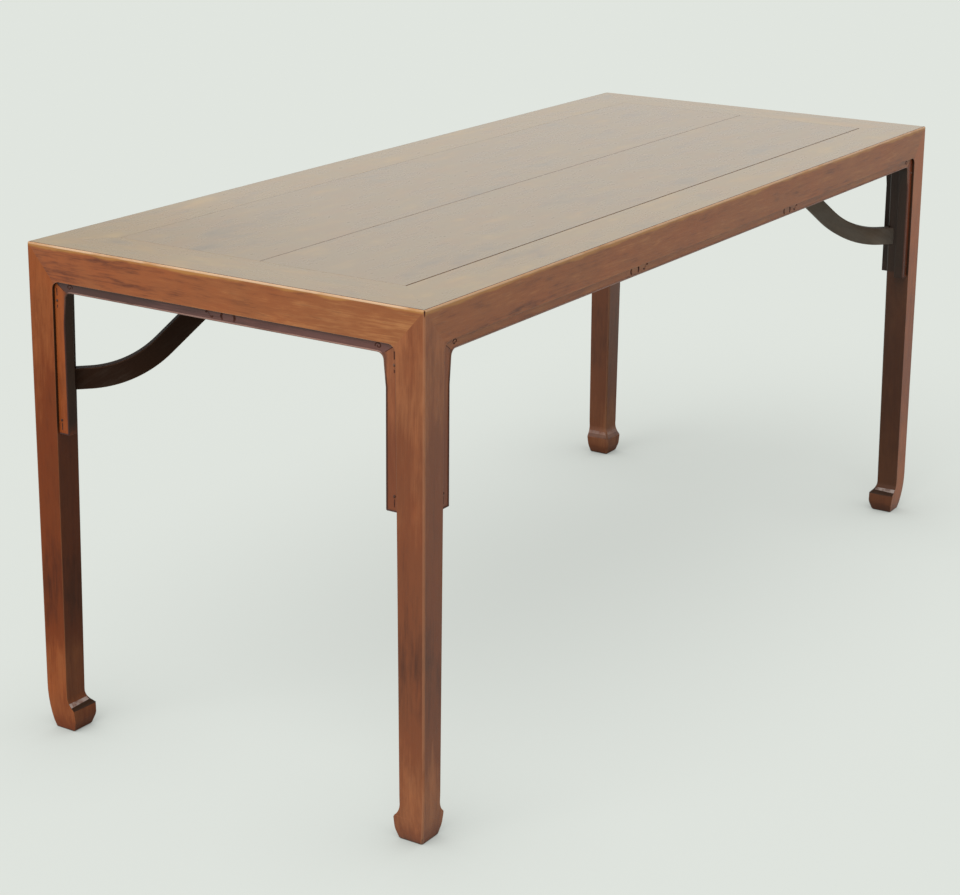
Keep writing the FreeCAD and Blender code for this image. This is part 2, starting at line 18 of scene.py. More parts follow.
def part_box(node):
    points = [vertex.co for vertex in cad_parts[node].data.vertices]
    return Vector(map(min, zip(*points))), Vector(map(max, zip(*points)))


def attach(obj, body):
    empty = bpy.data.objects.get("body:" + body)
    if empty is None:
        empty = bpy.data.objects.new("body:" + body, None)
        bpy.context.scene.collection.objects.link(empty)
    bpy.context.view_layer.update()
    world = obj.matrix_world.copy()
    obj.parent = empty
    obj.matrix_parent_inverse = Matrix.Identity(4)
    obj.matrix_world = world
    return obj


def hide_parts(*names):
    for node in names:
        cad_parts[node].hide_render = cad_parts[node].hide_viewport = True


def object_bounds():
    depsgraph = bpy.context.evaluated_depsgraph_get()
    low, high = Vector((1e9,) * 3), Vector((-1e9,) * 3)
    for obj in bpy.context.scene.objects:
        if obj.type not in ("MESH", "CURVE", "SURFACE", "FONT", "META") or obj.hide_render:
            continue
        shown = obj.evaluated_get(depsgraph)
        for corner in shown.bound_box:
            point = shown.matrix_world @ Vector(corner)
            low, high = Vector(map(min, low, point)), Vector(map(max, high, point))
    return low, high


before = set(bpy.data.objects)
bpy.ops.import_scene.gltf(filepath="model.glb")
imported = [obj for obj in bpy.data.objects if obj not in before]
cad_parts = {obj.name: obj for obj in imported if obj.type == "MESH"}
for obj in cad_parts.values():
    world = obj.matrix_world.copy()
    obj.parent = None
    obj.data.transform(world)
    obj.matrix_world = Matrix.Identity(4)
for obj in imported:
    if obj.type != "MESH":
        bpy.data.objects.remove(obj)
cad_low, cad_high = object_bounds()
MM = 0.001
HALF_LENGTH = cad_high.x
HALF_WIDTH = cad_high.y
TOP = cad_high.z
print(f"{len(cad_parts)} solids, {2 * HALF_LENGTH:.3f} by {2 * HALF_WIDTH:.3f} by {TOP:.3f} m")

# %% [markdown]
# Copies of the solids
#
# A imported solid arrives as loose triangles. Merging the corners that coincide and dissolving the lines that
# run across flat faces gives back the long clean faces of planed timber, and only such a mesh can have its
# edges eased. In the curved feet, edges too short for that are merged as well. The solids themselves stay
# untouched.

# %% Merge and flatten a copy
MERGE_DISTANCE = 0.005 * MM
FLAT_ANGLE = math.radians(0.5)
SHORTEST_EDGE = 0.6 * MM
FOOT_TOP = 64 * MM


def copy_of(node):
    """The node's mesh as one closed skin of flat faces."""
    skin = bmesh.new()
    skin.from_mesh(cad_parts[node].data)
    bmesh.ops.remove_doubles(skin, verts=skin.verts, dist=MERGE_DISTANCE)
    bmesh.ops.dissolve_limit(skin, angle_limit=FLAT_ANGLE, verts=skin.verts, edges=skin.edges)
    if node.endswith("_leg"):
        foot = [edge for edge in skin.edges if all(corner.co.z < FOOT_TOP for corner in edge.verts)]
        bmesh.ops.dissolve_degenerate(skin, dist=SHORTEST_EDGE, edges=foot)
    return skin


skins = {node: copy_of(node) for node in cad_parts}
trees = {node: BVHTree.FromBMesh(skin) for node, skin in skins.items()}
print("faces:", sum(len(skin.faces) for skin in skins.values()))

# %% [markdown]
# Eased arrises
#
# No edge of an old table is sharp, but a joint must stay tight: a mitre with rounded lips would read as a
# groove. An edge is therefore eased only if it is convex and no neighbouring piece lies within a hair of its
# middle. How far it is rounded depends on where it lies. The outer corners of legs and top have been wiped
# and leaned on, the inner arris of a leg runs out over its toe and is the roundest, and everything else is
# only taken off with a plane.

# %% Sort the arrises
JOINT_HAIR = 0.6 * MM
FACE_HAIR = 0.2 * MM
TOE_INSET = 35 * MM
CORNER_BAND = 14 * MM
SEAM_BAND = 12 * MM


def is_open(edge, own_node):
    """True for an edge whose middle no other piece touches."""
    middle = (edge.verts[0].co + edge.verts[1].co) / 2
    return all(tree.find_nearest(middle, JOINT_HAIR)[0] is None
               for node, tree in trees.items() if node != own_node)


def place_of(edge, kind):
    """Where an edge lies: on a leg's inner arris, an outer corner, the panel's seam or elsewhere."""
    ends = [corner.co for corner in edge.verts]
    if kind == "leg" and all(abs(end.x) < HALF_LENGTH - TOE_INSET and abs(end.y) < HALF_WIDTH - TOE_INSET
                             for end in ends):
        return "toe"
    on_top = all(end.z > TOP - FACE_HAIR for end in ends)
    if on_top and all(abs(end.y) < SEAM_BAND for end in ends):
        return "seam"
    at_end = all(abs(end.x) > HALF_LENGTH - CORNER_BAND for end in ends)
    at_side = all(abs(end.y) > HALF_WIDTH - CORNER_BAND for end in ends)
    return "outer" if at_end + at_side + on_top > 1 else "inner"


print("toe edges:", sum(place_of(edge, "leg") == "toe" for edge in skins["front_left_leg"].edges))

# %% [markdown]
# The bevel takes all arrises of one width in one pass, so a rounding runs on without a step from the leg into
# its foot. The faces it makes are marked, and the finish can show worn wood there, and along the top's rim a
# painted highlight as well. On the boards they are the lips of the panel's joints, where old wax gathers
# instead.

# %% Round them
SHARP_ANGLE = math.radians(25)
ROUND_SEGMENTS = 4
ROUND_PROFILE = 0.5
EASING = {
    "rail": {"outer": 3.2 * MM, "inner": 0.6 * MM},
    "board": {"inner": 0.4 * MM, "seam": 0.4 * MM},
    "leg": {"toe": 3.6 * MM, "outer": 3.2 * MM, "inner": 1.0 * MM},
    "apron": {"inner": 0.8 * MM},
    "strip": {"inner": 0.8 * MM},
    "brace": {"inner": 1.6 * MM},
    "batten": {"inner": 1.0 * MM},
}
TOP_ARRIS = 4 * MM
LOWER_WEAR = 0.5


def kind_of(node):
    """The word that says what a node is, such as rail or leg."""
    words = node.split("_")
    return "strip" if "strip" in words else words[-1]


def ease(node):
    """Rounds the open arrises of a skin and marks the rounded faces."""
    skin = skins[node]
    kind = kind_of(node)
    widths = EASING[kind]
    arris = skin.faces.layers.float.new("arris")
    edges_by_width = {width: [] for width in widths.values()}
    for edge in skin.edges:
        if edge.is_manifold and edge.calc_face_angle_signed(0) > SHARP_ANGLE:
            place = place_of(edge, kind)
            if place in widths and (place == "seam" or is_open(edge, node)):
                edges_by_width[widths[place]].append(edge)
    for width, edges in edges_by_width.items():
        made = bmesh.ops.bevel(skin, geom=[edge for edge in edges if edge.is_valid], offset=width,
                               offset_type="OFFSET", affect="EDGES", segments=ROUND_SEGMENTS,
                               profile=ROUND_PROFILE, clamp_overlap=False)
        for face in made["faces"]:
            face[arris] = 1 if face.calc_center_median().z > TOP - TOP_ARRIS else LOWER_WEAR
            face.material_index = int(kind == "board")


pieces_to_finish = [node for node in sorted(skins) if kind_of(node) in EASING]
for node in pieces_to_finish:
    ease(node)
print("eased:", len(pieces_to_finish), "pieces")

# %% [markdown]
# Faces that look up, under and out of the feet
#
# The top's upper face, on rails and panel alike, is paler and less red: partly faded by light and daily
# wiping, partly a painted sheen. Underneath, makers brush a dark lacquer over the boards and the inner faces
# near them, which keeps out damp; the dark coat given here is partly that lacquer and partly painted shade.
# A face is given that coat if it looks down, or back towards the middle of the table. On a foot, a pale band
# is laid on the hollow above the toe, and the ledge below it takes painted shade, more than the toe has.
# Along the rim of the top, a thin dark line of painted shade lies on the uppermost facet. The long rails'
# arrises are less worn than the short ones'. The marks are kept per face, so they end at an arris, as they do
# on the table.

# %% Mark the faces
DOWNWARD = -0.3
INWARD = 0.5
UPWARD = 0.9
# The uppermost facet of the top's rounded rim takes a thin line of painted shade.
RIM_TILT = 0.95
LONG_SIDES = ("front", "back")
LONG_RAIL_WEAR = 0.55
# Lacquer and painted shade per leg: little where light reaches the back right leg, more on the front right.
LACQUER_AND_SHADE_SHARES = {"back_right_leg": 0.15, "front_right_leg": 1.6}
# A pale band lies on the hollow above each toe, on faces tilted between these.
HOLLOW_TILT = (0.43, 0.60)
HOLLOW_PALENESS = {"back_right_leg": 0.3}
# Painted shade on the ledge below the hollow, and a little less on the toe.
LEDGE_SHADE = 2.0
LEDGE_LEAST = 0.4
TOE_SHADE = 0.82
TOE_TOP = 36 * MM


def side_of(node):
    """The side of the table that a rail, apron or strip belongs to."""
    return node.split("_")[0]


def looks_under(face, middle):
    normal = face.normal
    inward_x = abs(normal.x) > INWARD and normal.x * middle.x < 0
    inward_y = abs(normal.y) > INWARD and normal.y * middle.y < 0
    return normal.z < DOWNWARD or inward_x or inward_y


def mark_faces(node):
    """Marks faces for lacquer and painted shade, fading and painted sheen, painted rim shade, and pale band."""
    skin = skins[node]
    skin.normal_update()
    layers = skin.faces.layers.float
    under, faded, waxed, dusty = (layers.new(name) for name in ("under", "faded", "waxed", "dusty"))
    arris = layers["arris"]
    kind = kind_of(node)
    share = 0.0 if kind == "brace" else LACQUER_AND_SHADE_SHARES.get(node, 1.0)
    for face in skin.faces:
        middle = face.calc_center_median()
        tilt = face.normal.z
        on_foot = kind == "leg" and middle.z < FOOT_TOP
        in_hollow = on_foot and not face[arris] and HOLLOW_TILT[0] < tilt < HOLLOW_TILT[1]
        # Lacquer with painted shade, faded top with painted sheen, painted rim shade and the pale band
        face[under] = looks_under(face, middle) * share
        face[faded] = tilt > UPWARD and middle.z > TOP - FACE_HAIR
        face[waxed] = face[arris] == 1 and kind == "rail" and tilt > RIM_TILT
        face[dusty] = in_hollow * HOLLOW_PALENESS.get(node, 1.0)
        if kind == "rail" and side_of(node) in LONG_SIDES:
            face[arris] *= LONG_RAIL_WEAR
        # Painted shade on the ledge; the toe takes a little less of the dark layer.
        if on_foot and tilt > HOLLOW_TILT[1]:
            face[under] = LEDGE_SHADE * max(share, LEDGE_LEAST)
        elif on_foot and middle.z < TOE_TOP:
            face[under] *= TOE_SHADE


for node in pieces_to_finish:
    mark_faces(node)
print("faces marked on", len(pieces_to_finish), "pieces")

# %% [markdown]
# Node helpers
#
# Trees for shading and for geometry are built by the same few lines: make a node, set its options, then link
# or fill each input.

# %% Small builders for node trees
def fill(tree, node, inputs):
    """Fills each input with a value or links it from a socket."""
    for key, value in inputs.items():
        if isinstance(value, bpy.types.NodeSocket):
            tree.links.new(value, node.inputs[key])
        else:
            node.inputs[key].default_value = value


def add(tree, kind, inputs=None, **options):
    """Adds a node with its options and inputs."""
    node = tree.nodes.new(kind)
    for name, setting in options.items():
        setattr(node, name, setting)
    fill(tree, node, inputs or {})
    return node


def reckon(tree, operation, first, second):
    return add(tree, "ShaderNodeMath", {0: first, 1: second}, operation=operation).outputs[0]


def plus(tree, first, second):
    return reckon(tree, "ADD", first, second)


def times(tree, first, second):
    return reckon(tree, "MULTIPLY", first, second)


def ramp(tree, value, low, high, start=0.0, end=1.0):
    """Smooth step from start to end while value goes from low to high."""
    return add(tree, "ShaderNodeMapRange", {0: value, 1: low, 2: high, 3: start, 4: end},
               interpolation_type="SMOOTHSTEP").outputs[0]


def blend(tree, factor, first, second, way="MIX"):
    return add(tree, "ShaderNodeMix", {0: factor, 6: first, 7: second}, data_type="RGBA",
               blend_type=way).outputs[2]


def height_of(tree, place):
    return add(tree, "ShaderNodeSeparateXYZ", {0: place}).outputs["Z"]


def new_group(name, kind, inputs, outputs):
    """Empty node group with named sockets; gives the tree, what comes in and its last node."""
    tree = bpy.data.node_groups.new(name, kind)
    for direction, sockets in (("INPUT", inputs), ("OUTPUT", outputs)):
        for socket_name, socket_kind in sockets:
            tree.interface.new_socket(socket_name, in_out=direction, socket_type=f"NodeSocket{socket_kind}")
    return tree, tree.nodes.new("NodeGroupInput").outputs, tree.nodes.new("NodeGroupOutput")


print("node trees for Blender", bpy.app.version_string)

# %% [markdown]
# Wood figure
#
# The wood is a dense tropical hardwood: orange-brown, with thin dark veins that follow the length of the
# board and fine open pores. Each piece carries its own coordinates, along, across and through its own grain,
# so one group serves all of them. Noises drawn out along the grain by different amounts make broad bands,
# streaks, fine lines, pores and short flecks; three more, hardly drawn out, mottle, cloud and warm the whole.
# A tone given from outside makes a place lighter or darker, and a warmth makes it redder.

# %% Noises along the grain
MIDDLE_NOISE = 0.5


def noise(tree, vector, scale, detail=3.0, roughness=0.55):
    """Noise centred on nought."""
    made = add(tree, "ShaderNodeTexNoise",
               {"Vector": vector, "Scale": scale, "Detail": detail, "Roughness": roughness})
    return reckon(tree, "SUBTRACT", made.outputs["Fac"], MIDDLE_NOISE)


def drawn_out(tree, grain, along):
    """Coordinates squeezed along the grain, so that a noise on them is drawn out."""
    return add(tree, "ShaderNodeMapping", {"Vector": grain, "Scale": (along, 1.0, 1.0)}).outputs[0]


def grain_noise(tree, grain, along, *settings):
    return noise(tree, drawn_out(tree, grain, along), *settings)


# Squeeze along the grain, then scale, detail and roughness of each noise
BANDS = (0.06, 55.0, 3.0)
STREAKS = (0.055, 230.0, 4.0, 0.6)
LINES = (0.04, 700.0, 3.0, 0.6)
PORE_DOTS = (0.05, 1800.0, 2.0)
FLECKS = (0.2, 150.0, 3.0)
MOTTLES = (0.4, 38.0, 3.0)
CLOUDS = (0.45, 11.0, 5.0, 0.6)
WARM_PATCHES = (0.5, 24.0, 2.0)
WANDER_SQUEEZE = 0.25
WANDER_NOISE = {"Scale": 7.0, "Detail": 2.0}
WANDER_PUSH = 0.03
SHADES = ("Dark", "Middle", "Light")
STRENGTHS = ("Bands", "Streaks", "Flecks", "Clouds", "Veins")
figure, given, result = new_group(
    "Wood figure", "ShaderNodeTree",
    [("Grain", "Vector"), *((shade, "Color") for shade in SHADES),
     *((value, "Float") for value in ("Tone", *STRENGTHS, "Pores", "Warmth"))],
    [("Color", "Color"), ("Height", "Float"), ("Cloud", "Float")])
straight = given["Grain"]
wander = add(figure, "ShaderNodeTexNoise",
             {"Vector": drawn_out(figure, straight, WANDER_SQUEEZE), **WANDER_NOISE})
push = add(figure, "ShaderNodeVectorMath", {0: wander.outputs["Color"], 3: WANDER_PUSH}, operation="SCALE")
bent = add(figure, "ShaderNodeVectorMath", {0: straight, 1: push.outputs[0]}, operation="ADD").outputs[0]
bands, streaks, lines, pores, flecks = (
    grain_noise(figure, bent, *settings) for settings in (BANDS, STREAKS, LINES, PORE_DOTS, FLECKS))
mottles, clouds, warm = (
    grain_noise(figure, straight, *settings) for settings in (MOTTLES, CLOUDS, WARM_PATCHES))
print("noises made for", figure.name)

# %% [markdown]
# The noises are weighed, and their sum picks a shade between dark and light. Veins and pores are drawn over
# it in the dark colour. The lines stand up a little and the pores lie deep, which gives the relief.

# %% Shades of the figure
MOTTLE_SHARE = 0.8
LINE_SHARE = 0.6
TONE_REACH = 0.5
VEIN_RAMP = (0.09, 0.20)
PORE_RAMP = (0.10, 0.22)
WARMTH_RAMP = (-0.25, 0.75)
REDDENING = (1.10, 0.84, 0.62, 1)
clouds = plus(figure, clouds, times(figure, mottles, MOTTLE_SHARE))
lines = times(figure, lines, LINE_SHARE)
fine = plus(figure, lines, streaks)
total = given["Tone"]
for part, strength in ((bands, "Bands"), (fine, "Streaks"), (flecks, "Flecks"), (clouds, "Clouds")):
    total = plus(figure, total, times(figure, part, given[strength]))
shade = blend(figure, ramp(figure, total, -TONE_REACH, 0.0), given["Dark"], given["Middle"])
shade = blend(figure, ramp(figure, total, 0.0, TONE_REACH), shade, given["Light"])
vein = times(figure, ramp(figure, streaks, *VEIN_RAMP), given["Veins"])
pore = ramp(figure, pores, *PORE_RAMP)
dark_marks = reckon(figure, "MAXIMUM", vein, times(figure, pore, given["Pores"]))
shade = blend(figure, dark_marks, shade, given["Dark"])
warmth = plus(figure, warm, given["Warmth"])
redder = blend(figure, ramp(figure, warmth, *WARMTH_RAMP), shade, REDDENING, "MULTIPLY")
relief = reckon(figure, "SUBTRACT", lines, pore)
fill(figure, result, {"Color": redder, "Height": relief, "Cloud": clouds})
print("wood figure:", len(figure.nodes), "nodes")

# %% [markdown]
# Wear, painted highlight and rubbing
#
# Five more effects are shared, each a group that puts out only a mask, and the material decides what colour
# shows. Worn arrises show paler wood, broken up where the cloth missed it; along the top's rim the pale colour
# is partly a painted highlight, and on the aprons' beads it is a painted highlight. Just below the rim of the
# top, sleeves have rubbed golden patches.

# %% Edge wear, painted highlight and rubbed rim
WEAR_AND_HIGHLIGHT_PATCHES = (0.3, 55.0, 4.0)
WEAR_AND_HIGHLIGHT_RAMP = (-0.32, 0.05)
VECTORS = ("Grain", "Place")


def new_mask(name, *inputs):
    """Empty group that makes a mask from vectors and numbers."""
    kinds = [(key, "Vector" if key in VECTORS else "Float") for key in inputs]
    return new_group(name, "ShaderNodeTree", kinds, [("Mask", "Float")])


# Worn arrises; along the top's rim and on the beads the pale colour is also a painted highlight.
wear_and_highlight, given, result = new_mask("Edge wear", "Arris", "Grain", "Amount")
patches = ramp(wear_and_highlight, grain_noise(wear_and_highlight, given["Grain"], *WEAR_AND_HIGHLIGHT_PATCHES), *WEAR_AND_HIGHLIGHT_RAMP)
fill(wear_and_highlight, result, {"Mask": times(wear_and_highlight, times(wear_and_highlight, given["Arris"], patches), given["Amount"])})

RUB_DEPTH = 16 * MM
RUB_PATCHES = (0.35, 45.0, 4.0)
RUB_UNEVEN = 1.4
RUB_RAMP = (0.45, 0.85)
rim, given, result = new_mask("Rubbed rim", "Place", "Grain")
sleeves = times(rim, grain_noise(rim, given["Grain"], *RUB_PATCHES), RUB_UNEVEN)
near_rim = ramp(rim, height_of(rim, given["Place"]), TOP - RUB_DEPTH, TOP)
fill(rim, result, {"Mask": ramp(rim, plus(rim, sleeves, near_rim), *RUB_RAMP)})
print("masks:", wear_and_highlight.name, "and", rim.name)

# %% [markdown]
# Painted shade at the openings, lacquer with painted shade, and a pale band
#
# Along the openings, where the strips' edges lie in shade, a purple-brown painted shade is laid in blotches.
# The under layer, partly lacquer and partly painted shade, is nearly black high up, near the top, and thins
# at a ragged line to dark grime and painted shade lower down the legs. The pale band lies only where a face
# was marked for it.

# %% Opening shade, lacquer and shade, pale band
BLOTCHES = (45.0, 4.0)
BLOTCH_SHARE = 0.8
OPENING_SHADE_RAMP = (0.15, 0.85)
# Painted shade along the openings, in blotches.
opening_shade, given, result = new_mask("Opening patina", "Nearness", "Place")
blotches = times(opening_shade, noise(opening_shade, given["Place"], *BLOTCHES), BLOTCH_SHARE)
fill(opening_shade, result, {"Mask": ramp(opening_shade, plus(opening_shade, given["Nearness"], blotches), *OPENING_SHADE_RAMP)})

# Dark layer under the top and on inner faces: partly lacquer and grime, partly painted shade.
LACQUER_AND_SHADE_START = 0.505
LACQUER_AND_SHADE_FULL = 0.545
LACQUER_AND_SHADE_MOST = 0.96
RAGGED_SCALE = 30.0
RAGGED_REACH = 0.03
lacquer_and_shade, given, result = new_mask("Under lacquer", "Under", "Place", "Grime")
ragged_shift = times(lacquer_and_shade, noise(lacquer_and_shade, given["Place"], RAGGED_SCALE), RAGGED_REACH)
ragged = plus(lacquer_and_shade, height_of(lacquer_and_shade, given["Place"]), ragged_shift)
thick = reckon(lacquer_and_shade, "MAXIMUM", ramp(lacquer_and_shade, ragged, LACQUER_AND_SHADE_START, LACQUER_AND_SHADE_FULL), given["Grime"])
covered = reckon(lacquer_and_shade, "MINIMUM", times(lacquer_and_shade, given["Under"], thick), LACQUER_AND_SHADE_MOST)
fill(lacquer_and_shade, result, {"Mask": covered})

# Pale band on the hollows above the toes, in patches.
HOLLOW_BAND_PATCHES = (90.0, 4.0)
HOLLOW_BAND_RAMP = (-0.25, 0.10)
hollow_band, given, result = new_mask("Settled dust", "Dusty", "Place")
band_patches = ramp(hollow_band, noise(hollow_band, given["Place"], *HOLLOW_BAND_PATCHES), *HOLLOW_BAND_RAMP)
fill(hollow_band, result, {"Mask": times(hollow_band, given["Dusty"], band_patches)})
print("masks:", [group.name for group in (opening_shade, lacquer_and_shade, hollow_band)])

# %% [markdown]
# The finishes
#
# One function builds every wood. It lays the rubbed rim, the faded top with its painted sheen, the wear with
# its painted highlight, the painted shade of the openings, the under lacquer with its painted shade and the
# pale band over the figure, in that order. The faded top is a second, quieter figure in paler, less red
# colours, partly faded wood and partly painted sheen. The legs also take a tone from their height: paler near
# the top and at the foot, partly rubbed wood and partly painted light, and darkest at the sole and the shin,
# where the tone is partly painted shade.

# %% Layers of colour
RUB_COLOUR = (0.55, 0.26, 0.06, 1)
RUB_SHARE = 0.6
# Colour of the painted shade along the openings.
OPENING_SHADE_COLOUR = (0.060, 0.026, 0.022, 1)
OPENING_SHADE_SHARE = 0.75
# Colour of the lacquer and painted shade under the top.
LACQUER_AND_SHADE_COLOUR = (0.026, 0.012, 0.005, 1)
# Colour of the pale band on the hollows.
HOLLOW_BAND_COLOUR = (0.50, 0.40, 0.36, 1)
HOLLOW_BAND_SHARE = 0.8
# Faded top, partly faded wood and partly painted sheen: paler and less red than the wood.
RAIL_FADED_AND_SHEEN = (0.265, 0.171, 0.056)
BOARD_FADED_AND_SHEEN = (0.242, 0.160, 0.063)
FADED_AND_SHEEN_SHADES = {"Dark": 0.6, "Middle": 1.0, "Light": 1.4}
FADED_AND_SHEEN_STRENGTHS = {"Bands": 0.3, "Clouds": 1.2}
CURVE_MIDDLE = 0.5


def height_tone_and_light(tree, place, light_and_tones):
    """Tone that follows the height, partly painted light and shade, given as pairs of height and tone."""
    level = reckon(tree, "DIVIDE", height_of(tree, place), TOP)
    curve = add(tree, "ShaderNodeFloatCurve", {"Value": level})
    points = curve.mapping.curves[0].points
    while len(points) < len(light_and_tones):
        points.new(CURVE_MIDDLE, CURVE_MIDDLE)
    for point, (at, tone) in zip(points, light_and_tones):
        point.location = (at / TOP, CURVE_MIDDLE + tone)
    curve.mapping.update()
    return reckon(tree, "SUBTRACT", curve.outputs[0], CURVE_MIDDLE)


def read(tree, attribute, output="Fac"):
    return add(tree, "ShaderNodeAttribute", attribute_name=attribute).outputs[output]


def faded_and_sheen_figure(tree, grain, colour):
    shades = {shade: (*(share * channel for channel in colour), 1) for shade, share in FADED_AND_SHEEN_SHADES.items()}
    return add(tree, "ShaderNodeGroup", {"Grain": grain, **FADED_AND_SHEEN_STRENGTHS, **shades}, node_tree=figure)


def mask(tree, group, inputs, share=None):
    """Places a shared mask in a material, thinned to a share of its strength."""
    made = add(tree, "ShaderNodeGroup", inputs, node_tree=group).outputs[0]
    return times(tree, made, share) if share else made


print("faded rails and boards:", RAIL_FADED_AND_SHEEN, BOARD_FADED_AND_SHEEN)

# %% [markdown]
# Gloss comes from old wax. Faded faces and arrises are the most rubbed, so they are the smoothest. The faded
# top has a coat as well, and no relief. Its coat is thinned at the back left corner, so that the top reflects
# less there: painted shade in the reflection, standing for a darker part of the room. Elsewhere lines and
# pores give a slight relief.

# %% Gloss and relief
RUBBED_ROUGHNESS = 0.28
CLOUD_ROUGHNESS = 0.12
FADED_COAT = 0.6
# The coat is thinned near this corner: painted shade in the top's reflection.
DULL_CORNER = (-HALF_LENGTH, HALF_WIDTH, TOP)
DULL_REACH = 0.55
DULL_SHARE = 0.2
RELIEF_STRENGTH = 0.25
RELIEF_DEPTH = 0.4 * MM


def polish(tree, figured, place, faded, arris, roughness):
    """Roughness, coat and relief of a wood, as inputs for its shader."""
    smooth = ramp(tree, reckon(tree, "MAXIMUM", faded, arris), 0.0, 1.0, roughness, RUBBED_ROUGHNESS)
    uneven = plus(tree, smooth, times(tree, figured.outputs["Cloud"], CLOUD_ROUGHNESS))
    from_dull = add(tree, "ShaderNodeVectorMath", {0: place, 1: DULL_CORNER}, operation="DISTANCE")
    coat = ramp(tree, from_dull.outputs["Value"], 0.0, DULL_REACH, DULL_SHARE * FADED_COAT, FADED_COAT)
    height = times(tree, figured.outputs["Height"], reckon(tree, "SUBTRACT", 1.0, faded))
    relief = add(tree, "ShaderNodeBump",
                 {"Height": height, "Strength": RELIEF_STRENGTH, "Distance": RELIEF_DEPTH})
    return {"Roughness": uneven, "Coat Weight": times(tree, faded, coat), "Coat Roughness": RUBBED_ROUGHNESS,
            "Normal": relief.outputs[0]}


print(f"coat of the top: {DULL_SHARE * FADED_COAT:.2f} at the dull corner, {FADED_COAT:.2f} elsewhere")

# %% [markdown]
# The material itself reads what a piece has stored, places the figure and lays the masks over it one after
# the other. The shader stays in the material, where an exporter looks for it, and only colours, masks and
# heights come from groups.

# %% Wood builder
PORES = 0.3


def new_material(name):
    """A material with its node tree and its shader."""
    material = bpy.data.materials.new(name)
    material.use_nodes = True
    return material, material.node_tree, material.node_tree.nodes["Principled BSDF"]


def wood(name, colours, strengths, worn_and_highlight, wear_and_highlight_amount=0.9, roughness=0.36, shine=0.45, grime_and_shade=0.9, light_and_tones=None,
         faded_and_sheen_colour=RAIL_FADED_AND_SHEEN):
    """Material of one wood: shades, figure strengths, wear and painted highlight, gloss, grime and painted
    shade.
    """
    material, tree, shader = new_material(name)
    place = add(tree, "ShaderNodeTexCoord").outputs["Object"]
    grain = read(tree, "grain", "Vector")
    faded = read(tree, "faded")
    arris = read(tree, "arris")
    tone = plus(tree, read(tree, "tone"), height_tone_and_light(tree, place, light_and_tones) if light_and_tones else 0.0)
    inputs = {"Grain": grain, "Tone": tone, "Warmth": read(tree, "warmth"), "Pores": PORES}
    inputs.update(zip(SHADES, [(*colour, 1) for colour in colours]))
    inputs.update(zip(STRENGTHS, strengths))
    figured = add(tree, "ShaderNodeGroup", inputs, node_tree=figure)
    layers = (
        (mask(tree, rim, {"Place": place, "Grain": grain}, RUB_SHARE), RUB_COLOUR),
        (faded, faded_and_sheen_figure(tree, grain, faded_and_sheen_colour).outputs["Color"]),
        (mask(tree, wear_and_highlight, {"Arris": arris, "Grain": grain, "Amount": wear_and_highlight_amount}), (*worn_and_highlight, 1)),
        (mask(tree, opening_shade, {"Nearness": read(tree, "nearness"), "Place": place}, OPENING_SHADE_SHARE),
         OPENING_SHADE_COLOUR),
        (mask(tree, lacquer_and_shade, {"Under": read(tree, "under"), "Place": place, "Grime": grime_and_shade}), LACQUER_AND_SHADE_COLOUR),
        (mask(tree, hollow_band, {"Dusty": read(tree, "dusty"), "Place": place}, HOLLOW_BAND_SHARE), HOLLOW_BAND_COLOUR),
    )
    colour = figured.outputs["Color"]
    for cover, layer_colour in layers:
        colour = blend(tree, cover, colour, layer_colour)
    gloss = polish(tree, figured, place, faded, arris, roughness)
    fill(tree, shader, {"Base Color": colour, "Specular IOR Level": shine, **gloss})
    return material


print("strength of the pores:", PORES)

# %% [markdown]
# The pieces differ in colour and in how strong the figure is: the panel is faded, with a painted sheen, and
# even, the rails are lively, the legs quieter and redder, the aprons duller, and the braces almost black.

